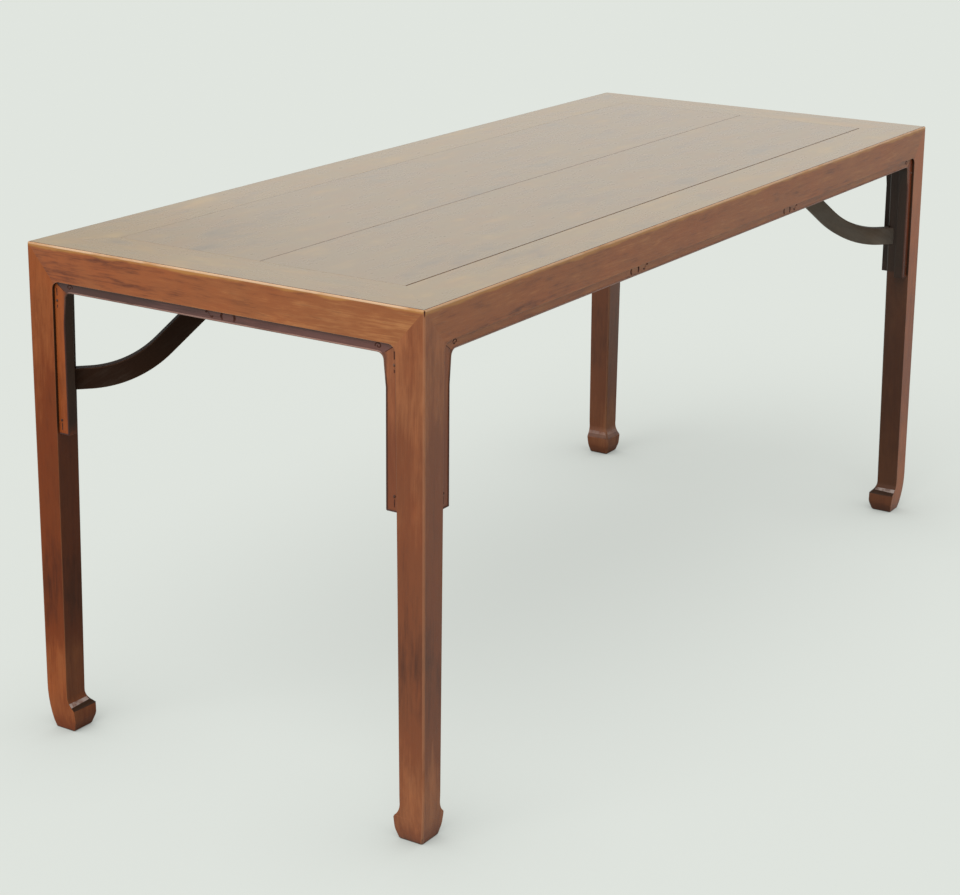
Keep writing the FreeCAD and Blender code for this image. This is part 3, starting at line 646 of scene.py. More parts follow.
# %% The woods
# Tones by height: partly painted light from above and from the floor, and painted shade at the sole.
UPPER_LIGHT_AND_TONES = ((0.58, 0.04), (0.70, 0.25), (0.83, 0.30))
LEG_LIGHT_AND_TONES = ((0.0, -0.60), (0.014, 0.0), (0.05, 0.20), (0.15, 0.02), (0.27, -0.16), (0.42, -0.04),
             *UPPER_LIGHT_AND_TONES)
RED_LIGHT_AND_TONES = ((0.0, -0.50), (0.014, 0.10), (0.05, 0.30), (0.10, 0.35), (0.16, 0.12), (0.24, -0.22),
             (0.36, -0.08), *UPPER_LIGHT_AND_TONES)
LIVELY = (0.7, 0.8, 0.6, 0.6, 0.45)
QUIET = (0.4, 0.35, 0.3, 0.45, 0.15)
finishes = {
    "rail": wood("Rail wood", ((0.110, 0.026, 0.007), (0.315, 0.098, 0.026), (0.460, 0.185, 0.060)), LIVELY,
                 worn_and_highlight=(0.72, 0.48, 0.30), wear_and_highlight_amount=0.85, shine=0.5),
    "board": wood("Panel wood", ((0.140, 0.080, 0.028), (0.250, 0.155, 0.055), (0.350, 0.235, 0.100)),
                  (0.5, 0.5, 0.4, 0.6, 0.1), worn_and_highlight=(0.40, 0.26, 0.14), wear_and_highlight_amount=0.6, roughness=0.30,
                  shine=0.5, faded_and_sheen_colour=BOARD_FADED_AND_SHEEN),
    "leg": wood("Leg wood", ((0.070, 0.018, 0.006), (0.205, 0.056, 0.016), (0.370, 0.130, 0.046)), QUIET,
                worn_and_highlight=(0.40, 0.18, 0.09), grime_and_shade=0.5, light_and_tones=LEG_LIGHT_AND_TONES),
    "red": wood("Red wood", ((0.055, 0.010, 0.002), (0.180, 0.038, 0.007), (0.330, 0.096, 0.027)), QUIET,
                worn_and_highlight=(0.36, 0.14, 0.06), roughness=0.45, shine=0.2, grime_and_shade=0.5, light_and_tones=RED_LIGHT_AND_TONES),
    "strip": wood("Strip wood", ((0.080, 0.020, 0.007), (0.195, 0.050, 0.015), (0.330, 0.110, 0.040)), QUIET,
                  worn_and_highlight=(0.36, 0.17, 0.09), light_and_tones=LEG_LIGHT_AND_TONES),
    "apron": wood("Apron wood", ((0.075, 0.030, 0.025), (0.150, 0.062, 0.053), (0.240, 0.110, 0.088)),
                  (0.5, 0.6, 0.4, 0.4, 0.25), worn_and_highlight=(0.52, 0.32, 0.27), shine=0.5),
    "bead": wood("Bead wood", ((0.070, 0.032, 0.022), (0.185, 0.095, 0.066), (0.290, 0.165, 0.120)), QUIET,
                 worn_and_highlight=(0.52, 0.32, 0.27), roughness=0.5, shine=0.08, grime_and_shade=0.0),
    # Its grey light shade is the painted sheen that the right front brace's tone reaches.
    "brace": wood("Brace wood", ((0.016, 0.008, 0.005), (0.032, 0.016, 0.010), (0.180, 0.154, 0.128)),
                  (0.15, 0.10, 0.10, 0.35, 0.0), worn_and_highlight=(0.26, 0.12, 0.07), wear_and_highlight_amount=0.3, roughness=0.45,
                  shine=0.02, grime_and_shade=0.0),
    "batten": wood("Batten wood", ((0.030, 0.018, 0.010), (0.075, 0.045, 0.027), (0.120, 0.075, 0.045)),
                   (0.8, 0.7, 0.5, 0.4, 0.3), worn_and_highlight=(0.20, 0.13, 0.08), wear_and_highlight_amount=0.6, roughness=0.6,
                   shine=0.3, grime_and_shade=0.8),
}
print("finishes:", sorted(material.name for material in finishes.values()))

# %% [markdown]
# Some pieces carry a tone and a warmth of their own. The right front brace's tone is painted light: it is
# made lighter, towards its grey light shade, as a sheen on the side that faces the lamp. Each is given as its
# value at the middle of the table and its rise per metre towards the back.

# %% Pieces that differ
# The right front brace's tone is painted light, a sheen on the side that faces the lamp.
TONES = {"front_right_leg": (0.24, 0.0), "front_strip_right": (-0.30, 0.0), "left_strip_back": (0.28, 0.0),
         "front_right_brace": (0.36, 0.0), "left_rail": (-0.02, -0.60), "left_apron": (-0.25, -0.7)}
WARMTHS = {"front_right_leg": (0.5, 0.0), "front_strip_right": (0.4, 0.0), "left_strip_back": (0.3, 0.0),
           "back_right_leg": (-0.6, 0.0), "left_rail": (0.15, 0.8)}
AS_ITS_KIND = (0.0, 0.0)
RED_PIECES = ("back_left_leg", "left_strip_back")


def finish_of(node):
    """The long sides' aprons are cut from the same wood as the rails, and two uprights from a redder one."""
    if node in RED_PIECES:
        return finishes["red"]
    long_apron = kind_of(node) == "apron" and side_of(node) in LONG_SIDES
    return finishes["rail" if long_apron else kind_of(node)]


print("set apart:", sorted({*TONES, *WARMTHS}))

# %% [markdown]
# Wax in the cuts, and painted shade on the rim
#
# Old wax and dirt stay in carved strokes and in the panel's open joints, and turn a dull dark red there. The
# same dark material paints a thin line of shade along the rim of the top.

# %% Dark wax and painted rim shade
# Dark wax of the cuts and joints, which also paints the line of shade along the rim.
WAX_AND_SHADE_COLOURS = ((0.050, 0.016, 0.009, 1), (0.110, 0.036, 0.024, 1))
WAX_AND_SHADE_SPECKS = 300.0
WAX_AND_SHADE_RAMP = (-0.2, 0.2)
WAX_AND_SHADE_ROUGHNESS = 0.7
WAX_AND_SHADE_SHINE = 0.2
wax_and_shade, wax_and_shade_tree, wax_and_shade_shader = new_material("Dark wax")
wax_and_shade_place = add(wax_and_shade_tree, "ShaderNodeTexCoord").outputs["Object"]
specks = ramp(wax_and_shade_tree, noise(wax_and_shade_tree, wax_and_shade_place, WAX_AND_SHADE_SPECKS), *WAX_AND_SHADE_RAMP)
fill(wax_and_shade_tree, wax_and_shade_shader, {"Base Color": blend(wax_and_shade_tree, specks, *WAX_AND_SHADE_COLOURS), "Roughness": WAX_AND_SHADE_ROUGHNESS,
                            "Specular IOR Level": WAX_AND_SHADE_SHINE})
print("made", wax_and_shade.name)

# %% [markdown]
# Which way the grain runs
#
# Rails, aprons and boards are cut along their length, legs and strips upright, and a brace along its chord,
# from the leg to the batten. Each vertex stores its place in its own board's frame, and each board starts
# somewhere else in the endless noise, so no two neighbours share a figure.

# %% Grain coordinates
BOARD_SPACING = Vector((3.7, 1.9, 2.3))


def grain_frame(node):
    """Rotation whose first row points along the grain of a node."""
    low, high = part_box(node)
    size = high - low
    middle = (low + high) / 2
    if kind_of(node) == "brace":
        inward_x = -math.copysign(size.x, middle.x)
        inward_y = -math.copysign(size.y, middle.y)
        along = Vector((inward_x, inward_y, size.z)).normalized()
    else:
        longest = max(range(3), key=lambda axis: size[axis])
        along = Vector([float(axis == longest) for axis in range(3)])
    across = along.orthogonal().normalized()
    return Matrix((along, across, along.cross(across)))


def store_grain(mesh, node, number):
    turned = grain_frame(node)
    places = mesh.attributes.new("grain", "FLOAT_VECTOR", "POINT")
    for corner, place in zip(mesh.vertices, places.data):
        place.vector = turned @ corner.co + BOARD_SPACING * number


print("grain of a brace:", [round(value, 2) for value in grain_frame("front_left_brace")[0]])

# %% [markdown]
# The tone and the warmth of a piece are stored in the same way. A strip also stores how near a place is to
# the edge of its opening, where the painted shade of the opening lies.

# %% Tone, warmth and nearness
# Width of the painted shade along the edge of an opening.
OPENING_SHADE_WIDTH = 16 * MM


def store(mesh, name, domain, values):
    stored = mesh.attributes.new(name, "FLOAT", domain)
    stored.data.foreach_set("value", values)


def store_tone(mesh, node):
    """Stores how much lighter and how much redder than its kind a piece is, and how near its opening."""
    for mark, values in (("tone", TONES), ("warmth", WARMTHS)):
        middle, rise = values.get(node, AS_ITS_KIND)
        store(mesh, mark, "POINT", [middle + rise * corner.co.y for corner in mesh.vertices])
    if kind_of(node) == "strip":
        span = 0 if side_of(node) in LONG_SIDES else 1
        edge = min(abs(corner.co[span]) for corner in mesh.vertices)
        store(mesh, "nearness", "POINT",
              [1 - (abs(corner.co[span]) - edge) / OPENING_SHADE_WIDTH for corner in mesh.vertices])


print(f"patina up to {OPENING_SHADE_WIDTH / MM:.0f} mm from the openings")

# %% [markdown]
# Setting a piece in the scene
#
# A finished piece takes the place of its solid, which is hidden: it rides on the root body and carries the
# node's name in its own. Smooth shading with area-weighted normals keeps broad faces flat while the eased
# arrises stay round. Boards, braces and battens have no carving, so they are placed at once.

# %% From skin to piece
SMOOTH_ANGLE = math.radians(40)
AREA_WEIGHT = 100


def link(name, data):
    thing = bpy.data.objects.new(name, data)
    bpy.context.scene.collection.objects.link(thing)
    return thing


def raw_piece(node):
    """The eased skin of a node as an object with its finish, not yet placed on its body."""
    mesh = bpy.data.meshes.new(f"{node}_polished")
    skins[node].to_mesh(mesh)
    skins[node].free()
    mesh.materials.append(finish_of(node))
    mesh.materials.append(wax_and_shade)
    return link(mesh.name, mesh)


def place_piece(piece, node, number):
    store_grain(piece.data, node, number)
    store_tone(piece.data, node)
    piece.data.shade_smooth()
    piece.data.set_sharp_from_angle(angle=SMOOTH_ANGLE)
    weighted = piece.modifiers.new("Flat faces stay flat", "WEIGHTED_NORMAL")
    weighted.keep_sharp = True
    weighted.weight = AREA_WEIGHT
    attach(piece, "root")
    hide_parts(node)


def of_kinds(*kinds):
    return [node for node in pieces_to_finish if kind_of(node) in kinds]


numbers = {node: number for number, node in enumerate(pieces_to_finish)}
plain_pieces = of_kinds("board", "brace", "batten")
for node in plain_pieces:
    place_piece(raw_piece(node), node, numbers[node])
print("placed:", len(plain_pieces), "pieces")

# %% [markdown]
# Carved strokes
#
# The aprons and strips carry a little carving: pairs of bowed strokes and a small scroll along each apron, a
# curl near each of its ends, and short strokes at the top and bottom of each strip. A carver cuts them with a
# small gouge. They are drawn here as curves on the face of the front side, and turned for the others. Short
# and long sides are carved in opposite hands. Each point has a weight, because a gouge cuts deeper in some
# places than in others.

# %% Sizes of the openings
SIDE_TURNS = {"front": 0, "right": 90, "back": 180, "left": 270}
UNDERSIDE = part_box("front_strip_left")[1].z
STRIP_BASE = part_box("front_strip_left")[0].z
RECESS = HALF_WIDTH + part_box("front_apron")[0].y
LEG_WIDTH = 51 * MM
STRIP_EDGE = 70 * MM
FLARE = 5 * MM
FLARE_LENGTH = 67 * MM
APRON_HEIGHT = 16 * MM
CORNER_RADIUS = 12 * MM


def side_size(side):
    """Half the length of a side, and the distance of its face from the middle of the table."""
    return (HALF_LENGTH, HALF_WIDTH) if side in LONG_SIDES else (HALF_WIDTH, HALF_LENGTH)


print(f"strips from {STRIP_BASE:.3f} to {UNDERSIDE:.3f} m")

# %% [markdown]
# A bar is a piece of a parabola, a curl a spiral that narrows as it turns, and a hook two half circles. They
# could be drawn by hand, but a formula with named sizes is easier to change.

# %% Bars, curls and hooks
SCROLL_HEIGHT = UNDERSIDE - 6.6 * MM
STROKE_STEPS = 10
BAR_HALF = 5.2 * MM
BAR_BOW = 2.6 * MM
BAR_WEIGHT = 1.3
BAR_TAPER = 0.3
CURL_STEPS = 28
CURL_TURNS = 1.1
CURL_START = math.radians(200)
CURL_OUTER = 6.0 * MM
CURL_INNER = 1.6 * MM
CURL_SQUASH = 0.85
CURL_WEIGHT = 0.6
HOOK_RADIUS = 2.3 * MM
HOOK_SPREAD = (4.0 * MM, 1.7 * MM)
HOOK_WEIGHT = 0.35
HOOK_SWELL = 0.75


def bar(u, bow):
    """Short upright stroke that bows to one side."""
    for step in range(STROKE_STEPS + 1):
        t = 2 * step / STROKE_STEPS - 1
        weight = BAR_WEIGHT * (1 - BAR_TAPER * t * t)
        yield u + bow * BAR_BOW * (1 - t * t), SCROLL_HEIGHT + BAR_HALF * t, weight


def curl(u, hand):
    """Spiral stroke that winds inward."""
    for step in range(CURL_STEPS + 1):
        t = step / CURL_STEPS
        radius = CURL_OUTER + (CURL_INNER - CURL_OUTER) * t
        angle = CURL_START - 2 * math.pi * CURL_TURNS * t
        yield (u + hand * radius * math.cos(angle), SCROLL_HEIGHT + CURL_SQUASH * radius * math.sin(angle),
               CURL_WEIGHT)


def hook(u, hand):
    """Small scroll of two opposite half turns, thick at its ends."""
    for end in (-1, 1):
        for step in range(STROKE_STEPS + 1):
            t = step / STROKE_STEPS if end > 0 else 1 - step / STROKE_STEPS
            angle = math.pi * (1 - t)
            yield (u + hand * end * (HOOK_SPREAD[0] + HOOK_RADIUS * math.cos(angle)),
                   SCROLL_HEIGHT + end * (HOOK_SPREAD[1] + HOOK_RADIUS * math.sin(angle)),
                   HOOK_WEIGHT + HOOK_SWELL * t)


print("points:", {draw.__name__: len(list(draw(0.0, 1))) for draw in (bar, curl, hook)})

# %% [markdown]
# A long apron has the bars and the scroll twice, a short one once. Every stroke is first set out along and up
# its side, then put on the recessed face and turned, so one function draws all four sides.

# %% Draw the strokes
GOUGE_RADIUS = 2.1 * MM
GOUGE_LIFT = 0.5
BAR_PLACES = ((-28.5 * MM, -1), (-8 * MM, 1))
HOOK_PLACE = 17.5 * MM
END_CURL = 83 * MM
STROKE_FROM_LEG = 4.5 * MM
STRIP_STROKES = ((UNDERSIDE - 11 * MM, UNDERSIDE - 23 * MM), (UNDERSIDE - 38 * MM, UNDERSIDE - 43 * MM),
                 (STRIP_BASE + 19 * MM, STRIP_BASE + 7 * MM))
STRIP_WEIGHT = 0.6
MITRE_STROKE = ((-7 * MM, -5 * MM), (-20 * MM, -14 * MM))
MITRE_WEIGHT = 0.3
LONG_STATIONS = (-284 * MM, 288 * MM)
SHORT_STATIONS = (3 * MM,)


def side_strokes(half_span, stations, hand):
    """All strokes of a side, as lists of places along and up its face, each with its weight."""
    strokes = []
    for station in stations:
        strokes += [list(bar(station + hand * u, hand * bow)) for u, bow in BAR_PLACES]
        strokes.append(list(hook(station + hand * HOOK_PLACE, hand)))
    for end in (-1, 1):
        strokes.append(list(curl(end * (half_span - END_CURL), end)))
        beside_leg = end * (half_span - LEG_WIDTH - STROKE_FROM_LEG)
        strokes += [[(beside_leg, z, STRIP_WEIGHT) for z in stroke] for stroke in STRIP_STROKES]
        strokes.append([(end * (half_span - LEG_WIDTH + u), UNDERSIDE + z, MITRE_WEIGHT)
                        for u, z in MITRE_STROKE])
    return strokes


def stroke_curve(name, strokes):
    """Strokes, each a list of points with their weights, as one curve object."""
    data = bpy.data.curves.new(name, "CURVE")
    data.dimensions = "3D"
    for stroke in strokes:
        spline = data.splines.new("POLY")
        spline.points.add(len(stroke) - 1)
        for point, (place, weight) in zip(spline.points, stroke):
            point.co = (*place, 1)
            point.radius = weight
    return link(name, data)


def on_face(side, stroke, lift=0.0):
    """Places along and up a side, set on or a little off its recessed face and turned to that side."""
    turn = Matrix.Rotation(math.radians(SIDE_TURNS[side]), 3, "Z")
    depth = RECESS - side_size(side)[1]
    return [(turn @ Vector((u, depth - lift * weight, z)), weight) for u, z, weight in stroke]


carvings = {}
for side in SIDE_TURNS:
    stations, hand = (LONG_STATIONS, 1) if side in LONG_SIDES else (SHORT_STATIONS, -1)
    strokes = side_strokes(side_size(side)[0], stations, hand)
    carvings[side] = stroke_curve(f"{side}_strokes",
                                  [on_face(side, stroke, GOUGE_LIFT * GOUGE_RADIUS) for stroke in strokes])
print("strokes:", {side: len(drawn.data.splines) for side, drawn in carvings.items()})

# %% [markdown]
# The gouge
#
# A Geometry Nodes tree sweeps a round gouge along the strokes, scaled by the weights, and cuts it out of the
# piece. The strokes are held a little off the face, because a gouge cuts with its tip only. Cutting with a
# boolean keeps the carving real geometry, which catches light and stays in the exported mesh. The cut faces
# are told apart by a mark that travels through the boolean, and take the dark wax. The faces marked along the
# rim take the same dark material, as a thin line of painted shade.

# %% Carving tree
GOUGE_SIDES = 10
carve, given, result = new_group(
    "Carve strokes", "GeometryNodeTree",
    [("Geometry", "Geometry"), ("Strokes", "Object"), ("Gouge Radius", "Float"), ("Wood", "Material"),
     ("Wax", "Material")],
    [("Geometry", "Geometry")])
drawn = add(carve, "GeometryNodeObjectInfo", {"Object": given["Strokes"]})
gouge = add(carve, "GeometryNodeCurvePrimitiveCircle",
            {"Resolution": GOUGE_SIDES, "Radius": given["Gouge Radius"]})
swept = add(carve, "GeometryNodeCurveToMesh",
            {"Curve": drawn.outputs["Geometry"], "Profile Curve": gouge.outputs[0], "Fill Caps": True,
             "Scale": add(carve, "GeometryNodeInputRadius").outputs[0]})
marked = add(carve, "GeometryNodeStoreNamedAttribute",
             {"Geometry": swept.outputs[0], "Name": "cut", "Value": 1.0}, data_type="FLOAT", domain="FACE")
cut = add(carve, "GeometryNodeMeshBoolean", {"Mesh 1": given["Geometry"], "Mesh 2": marked.outputs[0]},
          operation="DIFFERENCE", solver="EXACT")
whole = add(carve, "GeometryNodeRealizeInstances", {"Geometry": cut.outputs["Mesh"]})
is_cut, is_painted_rim_shade = (
    add(carve, "GeometryNodeInputNamedAttribute", {"Name": name}, data_type="FLOAT").outputs[0]
    for name in ("cut", "waxed"))
wooden = add(carve, "GeometryNodeSetMaterial", {"Geometry": whole.outputs[0], "Material": given["Wood"]})
# Cut faces take the dark wax; the rim faces take it as painted shade.
waxed = add(carve, "GeometryNodeSetMaterial",
            {"Geometry": wooden.outputs[0], "Selection": reckon(carve, "MAXIMUM", is_cut, is_painted_rim_shade),
             "Material": given["Wax"]})
fill(carve, result, {"Geometry": waxed.outputs[0]})
print("carving tree:", len(carve.nodes), "nodes")

# %% [markdown]
# A modifier's inputs go by the identifiers of their sockets and are set before the object is evaluated. The
# result is kept as a plain mesh and the modifier removed, because grain and tone are stored on the carved
# mesh.

# %% Carve aprons and strips
def run_nodes(thing, tree, settings):
    """The plain mesh that a geometry tree makes of an object, with inputs given by name."""
    modifier = thing.modifiers.new(tree.name, "NODES")
    modifier.node_group = tree
    for socket in tree.interface.items_tree:
        if socket.item_type == "SOCKET" and socket.in_out == "INPUT" and socket.name in settings:
            modifier[socket.identifier] = settings[socket.name]
    view = bpy.context.evaluated_depsgraph_get()
    mesh = bpy.data.meshes.new_from_object(thing.evaluated_get(view), depsgraph=view)
    thing.modifiers.remove(modifier)
    return mesh


def carved_piece(node, strokes, gouge_radius):
    piece = raw_piece(node)
    piece.data = run_nodes(piece, carve, {"Strokes": strokes, "Gouge Radius": gouge_radius,
                                          "Wood": finish_of(node), "Wax": wax_and_shade})
    place_piece(piece, node, numbers[node])
    return len(piece.data.polygons)


for node in of_kinds("apron", "strip"):
    print(f"{node}: {carved_piece(node, carvings[side_of(node)], GOUGE_RADIUS)} faces")

# %% [markdown]
# Open corners
#
# Where three mitres meet at a top corner, the wood has shrunk and left a short dark crack down the arris. It
# is cut with the same tree, by a thinner tool, from the two rails and the leg that meet there.

# %% Crack the corners
CRACK_RADIUS = 1.2 * MM
CRACK_INSET = 0.9 * MM
CRACK_TAIL = 0.3
CRACK_LENGTHS = {(-1, -1): 5 * MM, (1, -1): 4 * MM, (1, 1): 4 * MM, (-1, 1): 3 * MM}
cracks = []
for (x_sign, y_sign), length in CRACK_LENGTHS.items():
    x = x_sign * (HALF_LENGTH - CRACK_INSET)
    y = y_sign * (HALF_WIDTH - CRACK_INSET)
    cracks.append([((x, y, TOP + CRACK_RADIUS), 1.0), ((x, y, TOP - length), 1.0),
                   ((x, y, TOP - 2 * length), CRACK_TAIL)])
carvings["corners"] = stroke_curve("corner_cracks", cracks)
for node in of_kinds("rail", "leg"):
    print(f"{node}: {carved_piece(node, carvings['corners'], CRACK_RADIUS)} faces")
for drawn in carvings.values():
    bpy.data.objects.remove(drawn)

# %% [markdown]
# The bead round each opening
#
# A fine half-round bead follows the inner edge of each opening: up one strip, round the corner, along the
# apron and down the other strip. Two short beads close the strips' lower ends, and small bosses stand between
# the strips' strokes. On the table all are cut from the solid. Here they are rods swept along paths, and
# balls, half sunk in the face. A path is only its corners; the tree rounds them, sweeps the rod and sets the
# bosses.

# %% Bead tree
CORNER_STEPS = 10
BEAD_SIDES = 12
BOSS_SEGMENTS = 14
BOSS_RINGS = 8
bead, given, result = new_group(
    "Beaded opening", "GeometryNodeTree",
    [("Geometry", "Geometry"), ("Bosses", "Object"), ("Corner Radius", "Float"), ("Bead Radius", "Float"),
     ("Boss Radius", "Float"), ("Wood", "Material")],
    [("Geometry", "Geometry")])
rounded = add(bead, "GeometryNodeFilletCurve",
              {"Curve": given["Geometry"], "Radius": given["Corner Radius"], "Limit Radius": True,
               "Count": CORNER_STEPS}, mode="POLY")
section = add(bead, "GeometryNodeCurvePrimitiveCircle",
              {"Resolution": BEAD_SIDES, "Radius": given["Bead Radius"]})
rod = add(bead, "GeometryNodeCurveToMesh",
          {"Curve": rounded.outputs[0], "Profile Curve": section.outputs[0], "Fill Caps": True})
boss_places = add(bead, "GeometryNodeObjectInfo", {"Object": given["Bosses"]})
boss = add(bead, "GeometryNodeMeshUVSphere",
           {"Segments": BOSS_SEGMENTS, "Rings": BOSS_RINGS, "Radius": given["Boss Radius"]})
bosses = add(bead, "GeometryNodeInstanceOnPoints",
             {"Points": boss_places.outputs["Geometry"], "Instance": boss.outputs["Mesh"]})
both = add(bead, "GeometryNodeJoinGeometry", {0: rod.outputs[0]})
bead.links.new(bosses.outputs[0], both.inputs[0])
real = add(bead, "GeometryNodeRealizeInstances", {"Geometry": both.outputs[0]})
soft = add(bead, "GeometryNodeSetShadeSmooth", {"Geometry": real.outputs[0]})
dressed = add(bead, "GeometryNodeSetMaterial", {"Geometry": soft.outputs[0], "Material": given["Wood"]})
fill(bead, result, {"Geometry": dressed.outputs[0]})
print("bead tree:", len(bead.nodes), "nodes")

# %% [markdown]
# A bead lies on the face, just beside the edge of the opening. That edge runs straight up a strip, slants a
# little inward near the top, and meets the apron at a corner that the tree rounds. The bosses stand in line
# with the strips' strokes.

# %% Shapes of the beads
BEAD_RADIUS = 1.3 * MM
BEAD_INSET = 1.2 * MM
BOSS_RADIUS = 2.1 * MM
BOSS_HEIGHTS = (UNDERSIDE - 31 * MM, STRIP_BASE + 24 * MM)


def bead_paths(half_span):
    """Corners of a side's bead and of the beads under its strips."""
    edge = half_span - STRIP_EDGE + BEAD_INSET
    foot = STRIP_BASE + BEAD_INSET
    right = [(edge, foot), (edge, UNDERSIDE - FLARE_LENGTH),
             (edge - FLARE, UNDERSIDE - APRON_HEIGHT + BEAD_INSET)]
    paths = [[(-u, z) for u, z in right] + right[::-1]]
    for end in (-1, 1):
        paths.append([(end * edge, foot), (end * (half_span - LEG_WIDTH + BEAD_INSET), foot)])
    return [[(u, z, 1.0) for u, z in path] for path in paths]


def bead_mesh(side):
    half_span = side_size(side)[0]
    path = stroke_curve(f"{side}_bead_path", [on_face(side, stroke) for stroke in bead_paths(half_span)])
    beside_leg = half_span - LEG_WIDTH - STROKE_FROM_LEG
    places = on_face(side, [(end * beside_leg, z, 1.0) for end in (-1, 1) for z in BOSS_HEIGHTS])
    boss_points = bpy.data.meshes.new(f"{side}_boss_points")
    boss_points.from_pydata([place for place, weight in places], [], [])
    boss_object = link(boss_points.name, boss_points)
    mesh = run_nodes(path, bead, {"Bosses": boss_object, "Corner Radius": CORNER_RADIUS,
                                  "Bead Radius": BEAD_RADIUS, "Boss Radius": BOSS_RADIUS,
                                  "Wood": finishes["bead"]})
    for leftover in (path, boss_object):
        bpy.data.objects.remove(leftover)
    return mesh


print("corners of a long side's bead:", len(bead_paths(HALF_LENGTH)[0]))

# %% [markdown]
# The bead is painted pale along the apron, a painted highlight, and much less on the strips, which have the
# painted shade of the opening instead.

# %% Set the beads
# Painted highlight on the bead along the apron, and little of it on the strips.
APRON_BEAD_HIGHLIGHT = 0.5
STRIP_BEAD_HIGHLIGHT = 0.1
APRON_BASE = UNDERSIDE - APRON_HEIGHT
STRIP_TOP = UNDERSIDE - 2 * APRON_HEIGHT
for number, side in enumerate(SIDE_TURNS, len(pieces_to_finish)):
    mesh = bead_mesh(side)
    piece = link(f"{side}_bead", mesh)
    store(mesh, "arris", "FACE",
          [APRON_BEAD_HIGHLIGHT if face.center.z > APRON_BASE else STRIP_BEAD_HIGHLIGHT for face in mesh.polygons])
    store_grain(mesh, f"{side}_apron", number)
    store_tone(mesh, f"{side}_apron")
    # The strips' part of the bead takes the painted shade of the opening.
    store(mesh, "nearness", "POINT", [float(corner.co.z < STRIP_TOP) for corner in mesh.vertices])
    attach(piece, "root")
    print(f"{piece.name}: {len(mesh.polygons)} faces")

# %% [markdown]
# Pins and wedges
#
# The dowels and wedges that hold the braces are sealed inside the joints. They keep their solids, and take a
# plain planed wood whose grain is read from the object's own coordinates.

# %% Peg wood
PEG_SHADES = {"Dark": (0.16, 0.09, 0.04, 1), "Middle": (0.30, 0.20, 0.11, 1), "Light": (0.42, 0.30, 0.18, 1)}
PEG_STRENGTHS = {"Bands": 0.6, "Streaks": 0.7, "Flecks": 0.3, "Clouds": 0.3, "Veins": 0.2, "Pores": PORES}
PEG_ROUGHNESS = 0.6
peg, peg_tree, peg_shader = new_material("Peg wood")
peg_grain = add(peg_tree, "ShaderNodeTexCoord").outputs["Object"]
peg_figure = add(peg_tree, "ShaderNodeGroup", {"Grain": peg_grain, **PEG_SHADES, **PEG_STRENGTHS},
                 node_tree=figure)
fill(peg_tree, peg_shader, {"Base Color": peg_figure.outputs["Color"], "Roughness": PEG_ROUGHNESS})
for node in ("brace_wedges", "brace_pins"):
    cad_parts[node].data.materials.clear()
    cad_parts[node].data.materials.append(peg)
print("pegs dressed")

# %% [markdown]
# Floor and light
#
# The studio is a pale paper floor with light from everywhere and a broad lamp to the left, which brightens
# the short side and the top. To the camera the paper also glows a little, which keeps the shadows as faint as
# they are in a white studio. Close round the feet the glow is darkened by ambient occlusion: a painted
# contact shadow.

# %% Floor
FLOOR_HALF = 20.0
PAPER = (0.560, 0.588, 0.555, 1)
PAPER_ROUGHNESS = 0.9
PAPER_GLOW = (0.843, 0.884, 0.834, 1)
GLOW_SHARE = 0.65
CONTACT_REACH = 0.3
CONTACT_SHARE = 0.7
floor_mesh = bpy.data.meshes.new("studio_floor")
floor_corners = [(x * FLOOR_HALF, y * FLOOR_HALF, 0) for x, y in ((-1, -1), (1, -1), (1, 1), (-1, 1))]
floor_mesh.from_pydata(floor_corners, [], [(0, 1, 2, 3)])
paper, paper_tree, paper_shader = new_material("Pale paper")
fill(paper_tree, paper_shader, {"Base Color": PAPER, "Roughness": PAPER_ROUGHNESS, "Specular IOR Level": 0.0})
# Ambient occlusion darkens the glow near the feet: a painted contact shadow.
near_feet = add(paper_tree, "ShaderNodeAmbientOcclusion", {"Distance": CONTACT_REACH})
dimmed = blend(paper_tree, CONTACT_SHARE, PAPER_GLOW, near_feet.outputs["Color"], "MULTIPLY")
glow = add(paper_tree, "ShaderNodeEmission", {"Color": dimmed, "Strength": 1.0})
seen = times(paper_tree, add(paper_tree, "ShaderNodeLightPath").outputs["Is Camera Ray"], GLOW_SHARE)
mixed = add(paper_tree, "ShaderNodeMixShader", {0: seen, 1: paper_shader.outputs[0], 2: glow.outputs[0]})
fill(paper_tree, paper_tree.nodes["Material Output"], {"Surface": mixed.outputs[0]})
floor_mesh.materials.append(paper)
link("studio_floor", floor_mesh)
print("floor", 2 * FLOOR_HALF, "m wide")

# %% [markdown]
# Glossy rays see a brighter surround than the one that lights the wood, so the polished top shows the pale
# walls at a low angle without bleaching its colour.

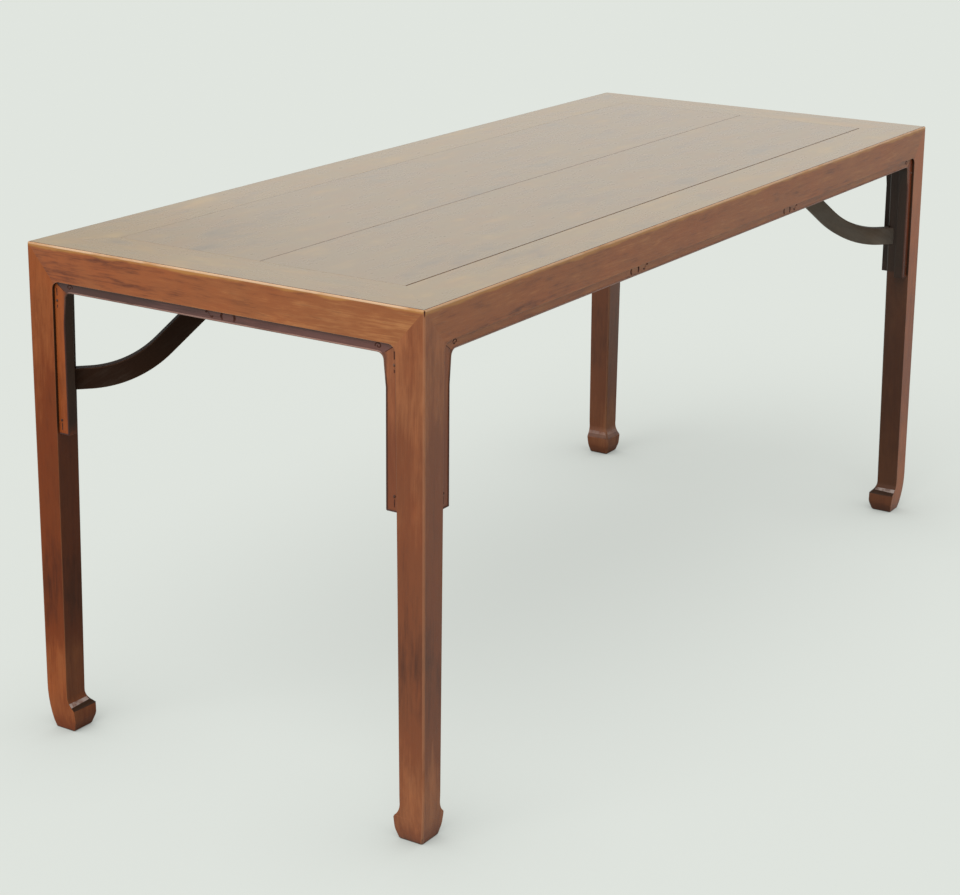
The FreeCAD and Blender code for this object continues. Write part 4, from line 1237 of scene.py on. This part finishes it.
# %% World and lamp
SURROUND = (1.0, 1.0, 0.98, 1)
FILL_STRENGTH = 0.45
GLOSS_STRENGTH = 0.85
KEY_FROM = Vector((-0.58, -0.06, 0.81))
KEY_STRENGTH = 2.2
KEY_ANGLE = math.radians(50)
scene = bpy.context.scene
world = bpy.data.worlds.new("Pale studio")
world.use_nodes = True
scene.world = world
world_tree = world.node_tree
rays = add(world_tree, "ShaderNodeLightPath").outputs
seen = reckon(world_tree, "MAXIMUM", rays["Is Camera Ray"], rays["Is Glossy Ray"])
seen = reckon(world_tree, "MAXIMUM", seen, rays["Is Transmission Ray"])
strength = ramp(world_tree, seen, 0.0, 1.0, FILL_STRENGTH, GLOSS_STRENGTH)
fill(world_tree, world_tree.nodes["Background"], {"Color": SURROUND, "Strength": strength})
lamp_data = bpy.data.lights.new("left_softbox", "SUN")
lamp_data.energy = KEY_STRENGTH
lamp_data.angle = KEY_ANGLE
lamp = link("left_softbox", lamp_data)
lamp.rotation_euler = KEY_FROM.to_track_quat("Z", "Y").to_euler()
scene.view_settings.view_transform = "Standard"
print("lamp", KEY_STRENGTH, "W/m2, fill", FILL_STRENGTH)

# %% [markdown]
# Camera
#
# The camera stands at the front left, a little above the top. Its place and turn were fitted to the table's
# own corners, so the picture lines up with the solids without moving them. The shift lowers the frame, as a
# view camera's falling front does, so the camera needs less tilt and the uprights lean less.

# %% Camera
CAMERA_PLACE = Vector((-3.3968, -2.0738, 1.6156))
CAMERA_YAW = math.radians(57.174)
CAMERA_PITCH = math.radians(-14.977)
CAMERA_ROLL = math.radians(0.501)
CAMERA_LENS = 83.526
CAMERA_SENSOR = 36.0
CAMERA_SHIFT = (-0.0012, -0.1289)
camera_data = bpy.data.cameras.new("studio_camera")
camera_data.sensor_width = CAMERA_SENSOR
camera_data.lens = CAMERA_LENS
camera_data.shift_x, camera_data.shift_y = CAMERA_SHIFT
camera = link("studio_camera", camera_data)
turn = Matrix.Translation(CAMERA_PLACE)
for angle, axis in ((-CAMERA_YAW, "Z"), (math.pi / 2 + CAMERA_PITCH, "X"), (CAMERA_ROLL, "Z")):
    turn = turn @ Matrix.Rotation(angle, 4, axis)
camera.matrix_world = turn
scene.camera = camera
print("camera", [round(value, 3) for value in camera.location])
